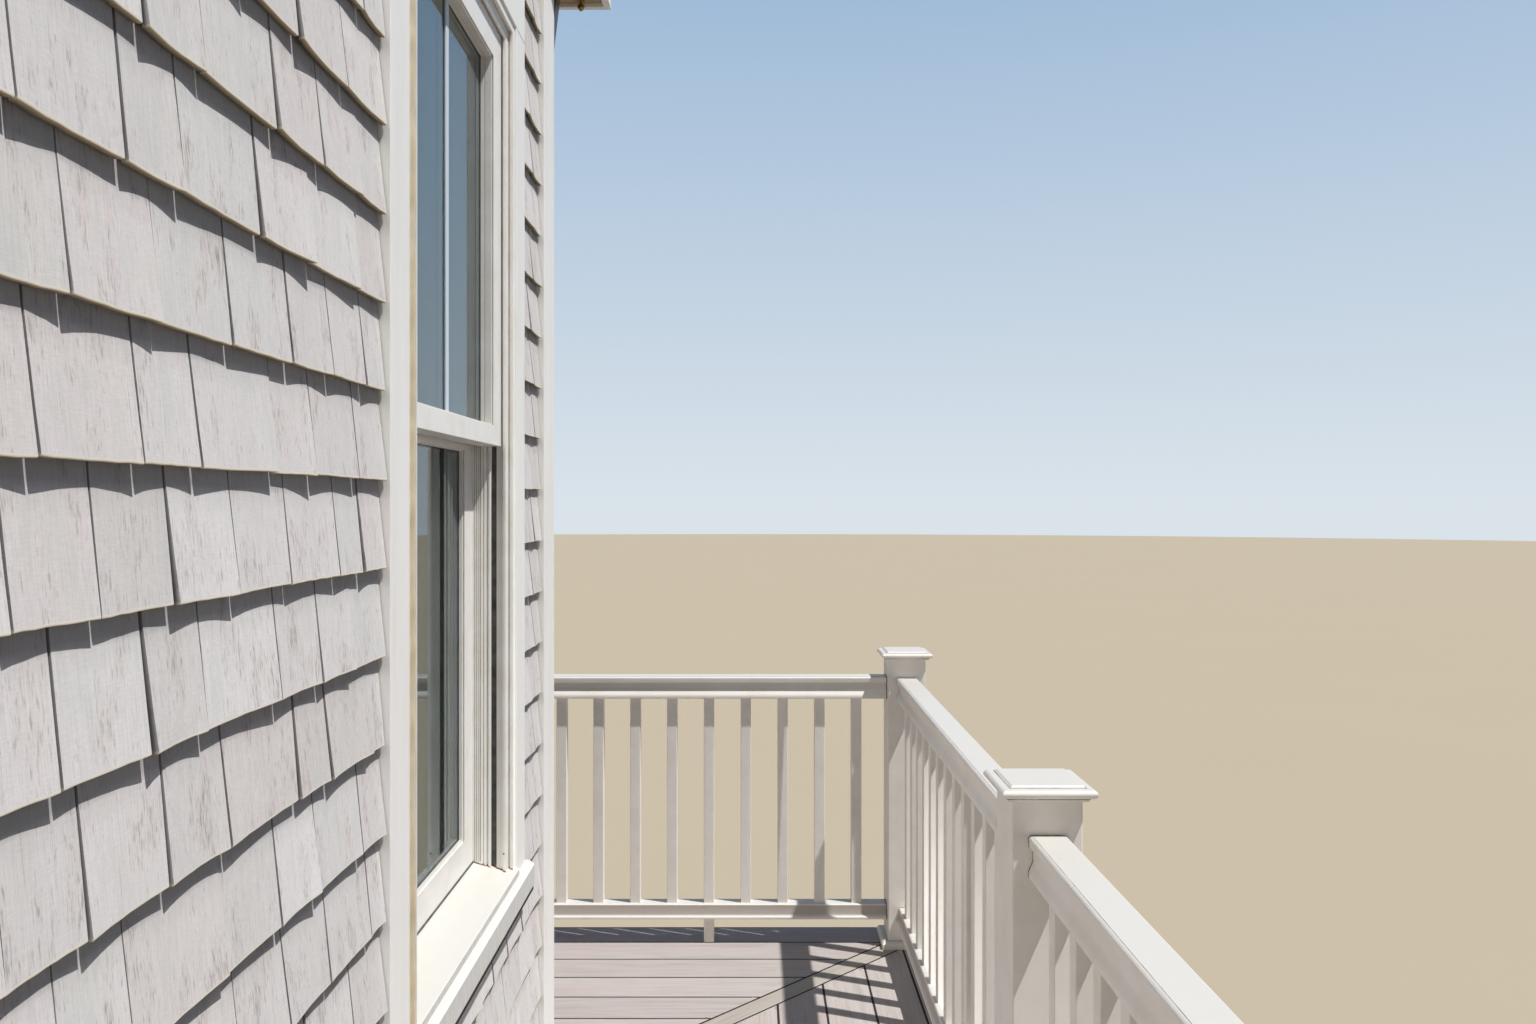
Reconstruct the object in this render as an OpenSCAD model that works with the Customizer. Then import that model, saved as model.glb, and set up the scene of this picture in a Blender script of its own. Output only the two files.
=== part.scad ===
// Corner bay of a shingled beach house with its wraparound deck and railing.
// The corner of the house trim is X = 0, Y = 0 while it is laid out: the house
// lies at negative X and Y, the deck wraps round it at positive X and Y.
// The window wall faces +X and the sea wall faces +Y. Z = 0 is the ground.
// Heights named "above the deck" start at the walking surface.

/* [Deck] */
// Height of the walking surface above the ground
deck_h = 1000; // [850:10:1600]
// Width of one deck board
board_w = 140; // [120:1:150]
// Thickness of a deck board
board_t = 25; // [20:1:38]
// Gap between deck boards
board_gap = 4.5; // [2:0.5:8]
// Number of boards across the deck
board_count = 8; // [6:1:11]
// Gap between the house trim and the first board
wall_gap = 5.5; // [3:0.5:12]
// Width of the strip laid along the mitre at the corner
mitre_w = 65; // [50:1:140]
// Overhang of the boards past the fascia
board_overhang = 12; // [6:1:25]

/* [Deck frame] */
// Thickness of joists, rims and ledgers
joist_w = 38; // [35:1:50]
// Depth of joists, rims and ledgers
joist_h = 184; // [140:1:235]
// Centre distance of the joists
joist_pitch = 406; // [300:1:610]
// Thickness of the deck fascia
deck_fascia_t = 19; // [15:1:25]
// Height of the deck fascia
deck_fascia_h = 190; // [185:1:240]
// Width of the doubled joist under the mitre
corner_joist_w = 76; // [70:1:120]
// Distance from the deck edge to the middle of the beam
beam_inset = 257; // [200:1:400]
// Width of the doubled beam
beam_w = 76; // [70:1:120]
// Depth of the beam
beam_h = 184; // [140:1:240]
// Side of a deck post
deck_post_w = 140; // [120:1:160]
// Bays between deck posts along each side
deck_post_bays = 2; // [2:1:4]
// Diameter of a footing
footing_d = 300; // [250:5:400]
// Height of a footing above the ground
footing_h = 100; // [60:5:180]

/* [Railing] */
// Side of a railing post
post_w = 127; // [100:1:140]
// Height of a railing post under its cap
post_h = 976; // [950:1:1100]
// Distance from the deck edge to the middle of the railing
rail_inset = 127; // [105:1:180]
// Clear length of each railing panel beside the window wall
side_span = 1702; // [1500:1:1830]
// Clear length of the railing panel next to the corner on the sea side
sea_span_short = 1219; // [1000:1:1830]
// Clear length of the other railing panel on the sea side
sea_span_long = 1702; // [1500:1:1830]
// Width of a post cap
cap_w = 170; // [160:1:200]
// Width of the lip under a post cap
cap_lip_w = 146; // [144:1:156]
// Height of the lip under a post cap
cap_lip_h = 6; // [3:1:12]
// Thickness of the post cap's slab
cap_t = 17; // [12:1:25]
// Height of the raised panel on a post cap
cap_panel_h = 5; // [3:1:10]
// Distance from a cap's edge to its raised panel
cap_panel_inset = 18; // [12:1:30]
// Width of a post's base skirt
skirt_w = 170; // [165:1:190]
// Height of a post's base skirt
skirt_h = 25; // [15:1:50]
// Bevel on the base skirt
skirt_bevel = 7; // [3:1:12]
// Height of the top rail above the deck
rail_top = 914; // [880:1:940]
// Width of the rails
rail_w = 70; // [60:1:90]
// Height of the top rail's profile
rail_h = 75; // [65:1:90]
// Height of the rounded nose of the top rail
nose_h = 21; // [16:1:26]
// Radius of the nose's edges
nose_r = 6; // [3:0.5:8]
// Overhang of the nose and the lip past the rail's body
rail_over = 8; // [4:1:12]
// Height of the lip at the foot of a rail
lip_h = 8; // [5:1:12]
// Height of the sweep from a rail's lip to its body
sweep_h = 24; // [12:1:28]
// Height of the bottom rail above the deck
low_rail_z = 85; // [60:1:100]
// Height of the bottom rail's profile
low_rail_h = 51; // [45:1:65]
// Side of a baluster
baluster_w = 35; // [30:1:42]
// Centre distance of the balusters
baluster_pitch = 126.5; // [105:0.5:135]

/* [Walls] */
// Thickness of the corner boards and window casing
trim_t = 25; // [19:1:32]
// Width of each corner board
corner_w = 140; // [90:1:160]
// Height of the base board under the shingles
base_h = 70; // [50:1:140]
// Gap between the deck and the wood above it
deck_clear = 3; // [1:1:10]
// Wall thickness inside the shingles
wall_t = 165; // [140:1:200]
// Thickness of the plain party walls
party_t = 120; // [90:1:200]
// Exposed height of a shingle course
course_h = 122.5; // [100:0.5:180]
// Thickness of a shingle at its butt
butt_t = 16; // [10:1:18]
// Thickness of a shingle where the next course laps it
lap_t = 6; // [3:1:8]
// Height of the inside floor above the deck
floor_rise = 60; // [20:1:150]
// Thickness of the inside floor
floor_t = 19; // [16:1:30]
// Depth of the house floor joists
floor_joist_h = 235; // [184:1:286]
// Thickness of the foundation wall
foundation_t = 200; // [150:5:300]

/* [Window] */
// Width of the window between its casings
unit_w = 762; // [600:1:950]
// Distance from the house corner to the window unit
window_from_corner = 468; // [300:1:700]
// Height of the sill nosing's top above the deck
sill_z = 715; // [600:1:900]
// Height of the window unit
unit_h = 1807; // [1500:1:1900]
// Width of the side casings
casing_w = 89; // [70:1:130]
// Height of the head casing
head_casing_h = 114; // [80:1:150]
// Height of the sill nosing
nosing_h = 56; // [40:1:80]
// How far the nosing stands out from the casing
nosing_out = 18; // [12:1:40]
// How far the nosing runs past the casing
nosing_horn = 17; // [0:1:40]
// Fall of the nosing's weathered top
nosing_fall = 8; // [3:1:15]
// Width of the frame's face beside the sashes
frame_face = 45; // [38:1:60]
// Height of the frame's face over the sashes
frame_head = 40; // [34:1:60]
// Height of the frame sill at the lower sash
frame_sill_h = 41; // [30:1:60]
// Height of the frame sill at its front edge
frame_sill_front = 14; // [8:1:22]
// Sash thickness
sash_t = 42; // [34:1:46]
// Distance from the casing face back to the upper sash
upper_set = 23; // [18:1:30]
// Distance from the casing face back to the lower sash
lower_set = 82; // [78:1:95]
// Width of the sash stiles
stile_w = 70; // [45:1:90]
// Height of the upper sash
upper_sash_h = 856; // [700:1:900]
// Height of the lower sash
lower_sash_h = 899; // [700:1:930]
// Height of the two rails that meet
meeting_rail_h = 40; // [30:1:55]
// Height of the top and bottom rails of the sashes
sash_rail_h = 66; // [50:1:100]
// Dark groove behind the edge of the sash bars, beside the glass
bead_groove = 3.5; // [2:0.5:5]
// Distance from the upper sash's face back to its glass
upper_glass_set = 27; // [20:1:27]
// Distance from the lower sash's face back to its glass
lower_glass_set = 21; // [18:1:27]
// Thickness of the glass unit
glass_t = 14; // [10:1:14]
// Gap beside a sash
sash_gap = 1.5; // [0.5:0.5:3]

/* [Roof] */
// Height of the eave soffit above the deck
soffit_z = 2880; // [2700:10:3100]
// Overhang of the eave past the sea wall trim
eave_out = 250; // [220:5:400]
// Overhang of the rake past the window wall trim
rake_out = 114; // [90:1:200]
// Rise of the roof for each unit of run
roof_pitch = 0.5; // [0.35:0.05:0.8]
// Thickness of the soffit boards
soffit_t = 12; // [9:1:20]
// Thickness of fascia and rake boards
fascia_t = 19; // [15:1:25]
// How far the fascia hangs below the soffit
fascia_drop = 10; // [5:1:25]
// Depth of the rafters across their length
rafter_h = 184; // [140:1:235]
// Thickness of the roof boards
roof_board_t = 16; // [12:1:22]
// Exposed length of a roof shingle course
roof_course = 143; // [120:1:180]
// Thickness of the roof shingles at a course's lower edge
roof_shingle_t = 10; // [7:1:16]
// How far the roof shingles run past the boards
drip = 18; // [10:1:30]
// Width of the gutter behind the fascia
gutter_w = 96; // [80:1:120]
// Depth of the gutter
gutter_h = 90; // [60:1:100]
// Thickness of the gutter lining
gutter_t = 3; // [2:0.5:5]

/* [Downspout] */
// Width of the downspout along the wall
spout_w = 60; // [50:1:75]
// Depth of the downspout out from the wall
spout_d = 50; // [40:1:60]
// Gap between the corner board and the downspout
spout_gap = 0.5; // [0.3:0.1:20]
// Distance from the house corner to the downspout
spout_from_corner = 12; // [8:1:60]
// How far the downspout reaches out under the soffit
spout_reach = 125; // [80:1:140]
// Height of the sloping length under the soffit
spout_slope_h = 230; // [160:5:320]
// Height of the downspout's mouth above the deck
spout_mouth_z = 60; // [40:5:150]

/* [Hidden] */
$fn = 48;

// Seam left where two straight pieces of one layer meet
seam = 0.5;
// Shortest joist that is worth fitting
short_joist = 100;
// Steps in a swept curve
curve_steps = 6;

// Deck outline
deck_depth = wall_gap + board_count * board_w + (board_count - 1) * board_gap;
board_pitch = board_w + board_gap;
post_line = deck_depth - rail_inset;
side_posts = [for (i = [0:2]) post_line - i * (side_span + post_w)];
sea_posts = [post_line, post_line - sea_span_short - post_w,
    post_line - sea_span_short - sea_span_long - 2 * post_w];
side_len = rail_inset - side_posts[2];
sea_len = rail_inset - sea_posts[2];

// The finished part stands centred on its own outline
x_mid = (deck_depth - sea_len) / 2;
y_mid = (deck_depth - side_len) / 2;

// Deck frame
joist_top = deck_h - board_t;
joist_z = joist_top - joist_h;
beam_z = joist_z - beam_h;
beam_line = deck_depth - beam_inset;
ledger_face = joist_w - trim_t;
fascia_face = deck_depth - board_overhang;
rim_face = fascia_face - deck_fascia_t;
rim_in = rim_face - joist_w;
corner_cut = corner_joist_w / sqrt(2) + seam;
mitre_cut = (mitre_w / 2 + board_gap) * sqrt(2);

// House outline: the sheathing plane lies behind the trim
sheath = -trim_t;
wall_in = sheath - wall_t;
party_y = party_t - side_len;
party_x = party_t - sea_len;
floor_z = deck_h + floor_rise;
frame_z = floor_z - floor_t;
foundation_h = frame_z - floor_joist_h;

// Window outline
unit_y1 = -window_from_corner;
unit_y0 = unit_y1 - unit_w;
unit_z0 = deck_h + sill_z;
unit_z1 = unit_z0 + unit_h;
sash_z0 = unit_z0 + frame_sill_h;
sash_z1 = unit_z1 - frame_head;
sash_y0 = unit_y0 + frame_face + sash_gap;
sash_y1 = unit_y1 - frame_face - sash_gap;

// Roof lines: rafters pass the inner face of the fascia at the soffit's top
fascia_in = eave_out - fascia_t;
rake_in = rake_out - fascia_t;
slope_k = sqrt(1 + roof_pitch * roof_pitch);
rafter_plumb = rafter_h * slope_k;
board_plumb = roof_board_t * slope_k;
gutter_in = fascia_in - gutter_w;
soffit_low = deck_h + soffit_z;
soffit_top = soffit_low + soffit_t;
function under(y) = soffit_top + roof_pitch * (fascia_in - y);
function over(y) = under(y) + rafter_plumb;
fascia_top = over(fascia_in);
gutter_z = fascia_top - gutter_h;

module place() {
    translate([-x_mid, -y_mid, 0]) children();
}

module box(a, b) {
    translate(a) cube(b - a);
}

// Extrudes an outline drawn in X and Z along Y
module along_y(y0, y1) {
    translate([0, y1, 0]) rotate([90, 0, 0]) linear_extrude(y1 - y0) children();
}

// Extrudes an outline drawn in Y and Z along X
module along_x(x0, x1) {
    translate([x0, 0, 0]) rotate([90, 0, 90]) linear_extrude(x1 - x0) children();
}

// Swaps X and Y, so that a side piece serves on the sea side
module on_sea_side() {
    mirror([1, -1, 0]) children();
}

// Foundation and floor

module foundation() {
    color("gray") place() difference() {
        box([-sea_len, -side_len, 0], [sheath, sheath, foundation_h]);
        box([foundation_t - sea_len, foundation_t - side_len, -1],
            [sheath - foundation_t, sheath - foundation_t, foundation_h + 1]);
    }
}

module floor_frame() {
    inner_x = sheath - joist_w;
    color("burlywood") place() difference() {
        box([-sea_len, -side_len, foundation_h], [sheath, sheath, frame_z]);
        for (y = [joist_w - side_len:joist_pitch:inner_x])
            box([joist_w - sea_len, y, foundation_h - 1],
                [inner_x, min(y + joist_pitch - joist_w, inner_x), frame_z + 1]);
    }
}

module floor_boards() {
    color("peru") place() box([-sea_len, -side_len, frame_z], [sheath, sheath, floor_z]);
}

// Walls

// Outline in Y and Z from one height up to the rafters
module under_rafters(y0, y1, z0) {
    polygon([[y0, z0], [y1, z0], [y1, under(y1)], [y0, under(y0)]]);
}

module window_wall() {
    color("ivory") place() difference() {
        along_x(wall_in, sheath) under_rafters(party_y, sheath, floor_z);
        box([wall_in - 1, unit_y0, unit_z0], [sheath + 1, unit_y1, unit_z1]);
    }
}

module sea_wall() {
    color("ivory") place() along_x(-sea_len, wall_in) under_rafters(wall_in, sheath, floor_z);
}

module party_wall_rear() {
    color("whitesmoke") place() along_x(-sea_len, sheath)
        polygon([[-side_len, floor_z], [party_y, floor_z], [party_y, over(party_y)],
            [-side_len, over(-side_len)]]);
}

module party_wall_side() {
    color("whitesmoke") place() along_x(-sea_len, party_x) under_rafters(party_y, wall_in, floor_z);
}

// Lapped courses drawn in X and Z: each one is thick at its butt and thin at its head
module courses(z0, z1) {
    count = ceil((z1 - z0) / course_h);
    polygon(concat([[sheath, z0]],
        [for (i = [0:count - 1]) each [[sheath + butt_t, z0 + i * course_h],
            [sheath + lap_t, z0 + (i + 1) * course_h]]],
        [[sheath, z0 + count * course_h]]));
}

module window_wall_shingles() {
    low = deck_h + base_h;
    color("lightgray") place() difference() {
        intersection() {
            along_y(-side_len, -corner_w) courses(low, over(-side_len));
            along_x(sheath, sheath + butt_t + 1)
                polygon([[-side_len, low], [-corner_w, low], [-corner_w, under(-corner_w) - soffit_t],
                    [-side_len, under(-side_len) - soffit_t]]);
        }
        box([sheath - 1, unit_y0 - casing_w, unit_z0 - nosing_h],
            [1, unit_y1 + casing_w, unit_z1 + head_casing_h]);
        box([sheath - 1, unit_y0 - casing_w - nosing_horn, unit_z0 - nosing_h],
            [1, unit_y1 + casing_w + nosing_horn, unit_z0]);
    }
}

module sea_wall_shingles() {
    low = deck_h + base_h;
    color("lightgray") place() intersection() {
        on_sea_side() along_y(-sea_len, -corner_w) courses(low, soffit_low);
        box([-sea_len, sheath, low], [-corner_w, 1, soffit_low]);
    }
}

module corner_board() {
    low = deck_h + deck_clear;
    color("white") place() {
        box([-corner_w, sheath, low], [0, 0, soffit_low]);
        along_x(sheath, 0)
            polygon([[-corner_w, low], [sheath, low], [sheath, under(sheath) - soffit_t],
                [-corner_w, under(-corner_w) - soffit_t]]);
    }
}

module base_boards() {
    low = deck_h + deck_clear;
    high = deck_h + base_h;
    color("white") place() {
        box([sheath, -side_len, low], [0, -corner_w, high]);
        box([-sea_len, sheath, low], [-corner_w, 0, high]);
    }
}

// Window

module window_casing() {
    outer_y0 = unit_y0 - casing_w;
    outer_y1 = unit_y1 + casing_w;
    color("white") place() difference() {
        box([sheath, outer_y0, unit_z0], [0, outer_y1, unit_z1 + head_casing_h]);
        box([sheath - 1, unit_y0, unit_z0 - 1], [1, unit_y1, unit_z1]);
    }
}

module window_sill() {
    low = unit_z0 - nosing_h;
    step_x = nosing_out - 1.5 * nosing_fall;
    color("white") place()
        along_y(unit_y0 - casing_w - nosing_horn, unit_y1 + casing_w + nosing_horn)
            polygon([[sheath, low], [nosing_out, low], [nosing_out, unit_z0 - nosing_fall],
                [step_x, unit_z0], [sheath, unit_z0]]);
}

// Faces of the frame's front: share of the face's width where it starts, and depth behind the casing
frame_steps = [[0, 4], [0.45, 13.5]];
// Grooves in the frame's inner sides: share of the face's width, front, back and depth. In order: behind
// the front edge, the upper sash's channel, its slot for the balance, the parting stop, the jamb liner
frame_grooves = [[0.45, 10, 13.5, 5], [1, 19.5, 34, 6], [1, 34, 46, 14], [1, 50, 54, 5], [1, 59.5, 61, 3]];

// Opening of the frame, taken in by a share of the face's width
module frame_opening(share, x0, x1) {
    box([x0, unit_y0 + share * frame_face, unit_z0 - 1],
        [x1, unit_y1 - share * frame_face, unit_z1 - share * frame_head]);
}

module window_frame() {
    sill_x = nosing_out - 1.5 * nosing_fall;
    color("white") place() {
        difference() {
            box([wall_in, unit_y0, unit_z0], [-frame_steps[0][1], unit_y1, unit_z1]);
            for (s = frame_steps) frame_opening(s[0], -s[1], 1);
            frame_opening(1, wall_in - 1, 1);
            for (g = frame_grooves) frame_opening(g[0] - g[3] / frame_face, -g[2], -g[1]);
        }
        along_y(unit_y0, unit_y1)
            polygon([[wall_in, unit_z0], [sill_x, unit_z0], [sill_x, unit_z0 + frame_sill_front],
                [-lower_set, sash_z0], [wall_in, sash_z0]]);
    }
}

// Section of a sash bar: its glass side is straight and undercut behind the face's edge. Drawn with the
// bar's outer edge at 0.
module bar_section(w, face) {
    polygon([[-face - sash_t, 0], [-face, 0], [-face, w], [-face - bead_groove, w - bead_groove],
        [-face - bead_groove, w], [-face - sash_t, w]]);
}

// Four bars round the glass
module sash(z0, z1, face, low_rail, high_rail) {
    translate([0, sash_y0, z0]) linear_extrude(z1 - z0) bar_section(stile_w, face);
    translate([0, sash_y1, z0]) mirror([0, 1, 0]) linear_extrude(z1 - z0) bar_section(stile_w, face);
    translate([0, sash_y1, z0]) rotate([90, 0, 0]) linear_extrude(sash_y1 - sash_y0)
        bar_section(low_rail, face);
    translate([0, sash_y1, z1]) mirror([0, 0, 1]) rotate([90, 0, 0]) linear_extrude(sash_y1 - sash_y0)
        bar_section(high_rail, face);
}

module pane(z0, z1, glass_face) {
    back = -glass_face - glass_t;
    box([back, sash_y0 + stile_w, z0], [back + glass_t, sash_y1 - stile_w, z1]);
}

module upper_sash() {
    color("white") place()
        sash(sash_z1 - upper_sash_h, sash_z1, upper_set, meeting_rail_h, sash_rail_h);
}

module lower_sash() {
    color("white") place()
        sash(sash_z0, sash_z0 + lower_sash_h, lower_set, sash_rail_h, meeting_rail_h);
}

module upper_glass() {
    color("lightblue", 0.4) place()
        pane(sash_z1 - upper_sash_h + meeting_rail_h, sash_z1 - sash_rail_h, upper_set + upper_glass_set);
}

module lower_glass() {
    color("lightblue", 0.4) place()
        pane(sash_z0 + sash_rail_h, sash_z0 + lower_sash_h - meeting_rail_h, lower_set + lower_glass_set);
}

// Roof

// A rafter with its tail notched for the gutter, drawn in Y and Z
module rafter_outline(y_end) {
    polygon([[y_end, under(y_end)], [fascia_in, soffit_top], [fascia_in, gutter_z],
        [gutter_in, gutter_z], [gutter_in, over(gutter_in)], [y_end, over(y_end)]]);
}

module rafters() {
    first = sheath - joist_w;
    last = -sea_len;
    count = ceil((first - last) / joist_pitch);
    spacing = (first - last) / count;
    color("burlywood") place() {
        for (i = [0:count]) along_x(last + i * spacing, last + i * spacing + joist_w)
            rafter_outline(party_y);
        along_x(rake_in - joist_w, rake_in) rafter_outline(-side_len);
    }
}

module roof_boards() {
    color("tan") place() along_x(-sea_len, rake_out)
        polygon([[-side_len, over(-side_len)], [gutter_in, over(gutter_in)],
            [gutter_in, over(gutter_in) + board_plumb], [-side_len, over(-side_len) + board_plumb]]);
}

// Lapped roof courses drawn in Y and Z, from the gutter up to the rear
module roof_shingles() {
    run = roof_course / slope_k;
    y_low = gutter_in + drip;
    count = ceil((y_low + side_len) / run);
    base = over(0) + board_plumb;
    function bed(y) = base - roof_pitch * y;
    color("dimgray") place() intersection() {
        along_x(-sea_len, rake_out + drip)
            polygon(concat([[y_low - count * run, bed(y_low - count * run)], [y_low, bed(y_low)]],
                [for (i = [0:count - 1]) each [[y_low - i * run, bed(y_low - i * run) + roof_shingle_t],
                    [y_low - (i + 1) * run, bed(y_low - (i + 1) * run) + roof_shingle_t / 2]]]));
        box([-sea_len, -side_len, 0], [rake_out + drip, y_low, 2 * bed(-side_len)]);
    }
}

module eave_soffit() {
    color("wheat") place() box([-sea_len, sheath, soffit_low], [rake_in, fascia_in, soffit_top]);
}

module rake_soffit() {
    color("wheat") place() along_x(sheath, rake_in)
        polygon([[-side_len, under(-side_len) - soffit_t], [sheath, under(sheath) - soffit_t],
            [sheath, under(sheath)], [-side_len, under(-side_len)]]);
}

module eave_fascia() {
    color("white") place()
        box([-sea_len, fascia_in, soffit_low - fascia_drop], [rake_in, eave_out, fascia_top]);
}

// Closes the end of the boxed eave between the level soffit and the sloping one
module eave_return() {
    color("white") place() along_x(0, rake_in)
        polygon([[sheath, soffit_top], [sheath + fascia_t, soffit_top],
            [sheath + fascia_t, under(sheath + fascia_t)], [sheath, under(sheath)]]);
}

module rake_board() {
    low = soffit_low - fascia_drop;
    color("white") place() along_x(rake_in, rake_out)
        polygon([[sheath, low], [eave_out, low], [eave_out, fascia_top], [fascia_in, fascia_top],
            [gutter_in, over(gutter_in)], [-side_len, over(-side_len)],
            [-side_len, under(-side_len) - soffit_t - fascia_drop],
            [sheath, under(sheath) - soffit_t - fascia_drop]]);
}

module eave_gutter() {
    color("silver") place() difference() {
        box([-sea_len, gutter_in, gutter_z], [rake_in, fascia_in, fascia_top]);
        box([gutter_t - sea_len, gutter_in + gutter_t, gutter_z + gutter_t],
            [rake_in - gutter_t, fascia_in - gutter_t, fascia_top + 1]);
    }
}

// Square pipe: down the wall, out under the soffit at the top and out at the mouth
module downspout() {
    out = spout_gap + spout_d;
    bend = soffit_low - spout_slope_h;
    mouth = deck_h + spout_mouth_z;
    kick = spout_d;
    outline = [[spout_gap, mouth + kick], [spout_gap, bend], [spout_gap + spout_reach, soffit_low],
        [out + spout_reach, soffit_low], [out, bend], [out, mouth + kick], [out + kick, mouth],
        [spout_gap + kick, mouth]];
    color("slategray") place() difference() {
        along_x(-spout_from_corner - spout_w, -spout_from_corner) polygon(outline);
        along_x(gutter_t - spout_from_corner - spout_w, -gutter_t - spout_from_corner)
            polygon([[spout_gap + gutter_t, mouth + kick], [out - gutter_t, mouth + kick],
                [out + kick - gutter_t + 2, mouth - 2], [spout_gap + kick + gutter_t + 2, mouth - 2]]);
    }
}

// Deck

// Boards along one side of the house, cut at the mitre
module mitred_boards(length) {
    for (i = [0:board_count - 1]) {
        x0 = wall_gap + i * board_pitch;
        x1 = x0 + board_w;
        translate([0, 0, joist_top]) linear_extrude(board_t)
            polygon([[x0, -length], [x1, -length], [x1, x1 - mitre_cut], [x0, x0 - mitre_cut]]);
    }
}

module side_deck_boards() {
    color("thistle") place() mitred_boards(side_len);
}

module sea_deck_boards() {
    color("thistle") place() on_sea_side() mitred_boards(sea_len);
}

module mitre_board() {
    half = mitre_w / sqrt(2);
    color("thistle") place() translate([0, 0, joist_top]) linear_extrude(board_t) intersection() {
        polygon([[-half, 0], [0, -half], [deck_depth + half, deck_depth], [deck_depth, deck_depth + half]]);
        translate([wall_gap, wall_gap]) square(deck_depth - wall_gap);
    }
}

module deck_ledgers() {
    color("olivedrab") place() {
        box([sheath, -side_len, joist_z], [ledger_face, ledger_face, joist_top]);
        box([-sea_len, sheath, joist_z], [sheath - seam, ledger_face, joist_top]);
    }
}

module deck_rims() {
    color("olivedrab") place() {
        box([rim_in, -side_len, joist_z], [rim_face, rim_face, joist_top]);
        box([-sea_len, rim_in, joist_z], [rim_in - seam, rim_face, joist_top]);
    }
}

module deck_fascias() {
    low = joist_top - deck_fascia_h;
    color("white") place() {
        box([rim_face, -side_len, low], [fascia_face, fascia_face, joist_top]);
        box([-sea_len, rim_face, low], [rim_face - seam, fascia_face, joist_top]);
    }
}

// Joists square to one side's boards, stopped at the doubled joist on the diagonal
module joist_run(length) {
    for (y = [-length:joist_pitch:rim_in - joist_w - corner_cut - short_joist])
        translate([0, 0, joist_z]) linear_extrude(joist_h) intersection() {
            translate([ledger_face, y]) square([rim_in - ledger_face, joist_w]);
            polygon([[ledger_face, -length], [rim_in, -length], [rim_in, rim_in - corner_cut],
                [ledger_face, ledger_face - corner_cut]]);
        }
}

module deck_joists() {
    half = corner_joist_w / sqrt(2);
    color("olivedrab") place() {
        joist_run(side_len);
        on_sea_side() joist_run(sea_len);
        translate([0, 0, joist_z]) linear_extrude(joist_h) intersection() {
            polygon([[0, -half], [rim_in + half, rim_in], [rim_in, rim_in + half], [-half, 0]]);
            translate([ledger_face, ledger_face]) square(rim_in - ledger_face);
        }
    }
}

module deck_beams() {
    low = beam_line - beam_w / 2;
    high = beam_line + beam_w / 2;
    color("olivedrab") place() {
        box([low, -side_len, beam_z], [high, high, joist_z]);
        box([-sea_len, low, beam_z], [low - seam, high, joist_z]);
    }
}

// Middle points of the deck posts: a row along each beam, with one shared at the corner
function post_row(length) = [for (i = [1:deck_post_bays])
    beam_line - i * (beam_line + length - deck_post_w / 2) / deck_post_bays];
deck_post_points = concat([[beam_line, beam_line]], [for (y = post_row(side_len)) [beam_line, y]],
    [for (x = post_row(sea_len)) [x, beam_line]]);

module deck_posts() {
    color("olivedrab") place() for (p = deck_post_points)
        translate([p[0] - deck_post_w / 2, p[1] - deck_post_w / 2, footing_h])
            cube([deck_post_w, deck_post_w, beam_z - footing_h]);
}

module deck_footings() {
    color("gray") place() for (p = deck_post_points)
        intersection() {
            translate([p[0], p[1], 0]) cylinder(h = footing_h, d = footing_d);
            box([-sea_len, -side_len, -1], [deck_depth, deck_depth, footing_h + 1]);
        }
}

// Railing

rail_post_points = concat([for (y = side_posts) [post_line, y]],
    [for (i = [1:2]) [sea_posts[i], post_line]]);

module rail_posts() {
    color("white") place() for (p = rail_post_points)
        translate([p[0] - post_w / 2, p[1] - post_w / 2, deck_h]) cube([post_w, post_w, post_h]);
}

// A square moulding: its section, seen along one side, meets itself in mitres at the corners
module square_moulding(reach) {
    intersection() {
        along_y(-reach, reach) children();
        rotate([0, 0, 90]) along_y(-reach, reach) children();
    }
}

function arc(x, z, r, a0, a1) =
    [for (i = [0:curve_steps]) let (a = a0 + (a1 - a0) * i / curve_steps) [x + r * cos(a), z + r * sin(a)]];

// Mirrors the right half of a section to complete it
function both_halves(half) = concat(half,
    [for (i = [len(half) - 1:-1:0]) [-half[i][0], half[i][1]]]);

module post_caps() {
    r = cap_t / 2;
    slab_z = cap_lip_h;
    panel_z = slab_z + cap_t;
    half = concat([[cap_lip_w / 2, 0], [cap_lip_w / 2, slab_z]],
        arc(cap_w / 2 - r, slab_z + r, r, -90, 90),
        [[cap_w / 2 - cap_panel_inset, panel_z],
            [cap_w / 2 - cap_panel_inset - cap_panel_h / 2, panel_z + cap_panel_h]]);
    color("white") place() for (p = rail_post_points)
        translate([p[0], p[1], deck_h + post_h]) square_moulding(cap_w) polygon(both_halves(half));
}

module post_skirts() {
    half = [[skirt_w / 2, 0], [skirt_w / 2, skirt_h - skirt_bevel], [skirt_w / 2 - skirt_bevel, skirt_h]];
    color("white") place() for (p = rail_post_points)
        translate([p[0], p[1], deck_h]) difference() {
            square_moulding(skirt_w) polygon(both_halves(half));
            translate([0, 0, skirt_h / 2]) cube([post_w, post_w, skirt_h + 2], center = true);
        }
}

// Sweep from a rail's lip in to its body
function sweep_points(z) = [for (i = [0:curve_steps]) let (t = i / curve_steps)
    [rail_w / 2 - rail_over * t * t * (3 - 2 * t), z + sweep_h * t]];

// Top rail: lip, sweep, upright body and rounded nose, drawn from its foot
module top_rail_section() {
    nose_z = rail_h - nose_h;
    half = concat([[rail_w / 2, 0]], sweep_points(lip_h),
        [[rail_w / 2 - rail_over, nose_z], [rail_w / 2 - 1, nose_z]],
        arc(rail_w / 2 - nose_r, rail_h - nose_r, nose_r, 0, 90));
    polygon(both_halves(half));
}

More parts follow.
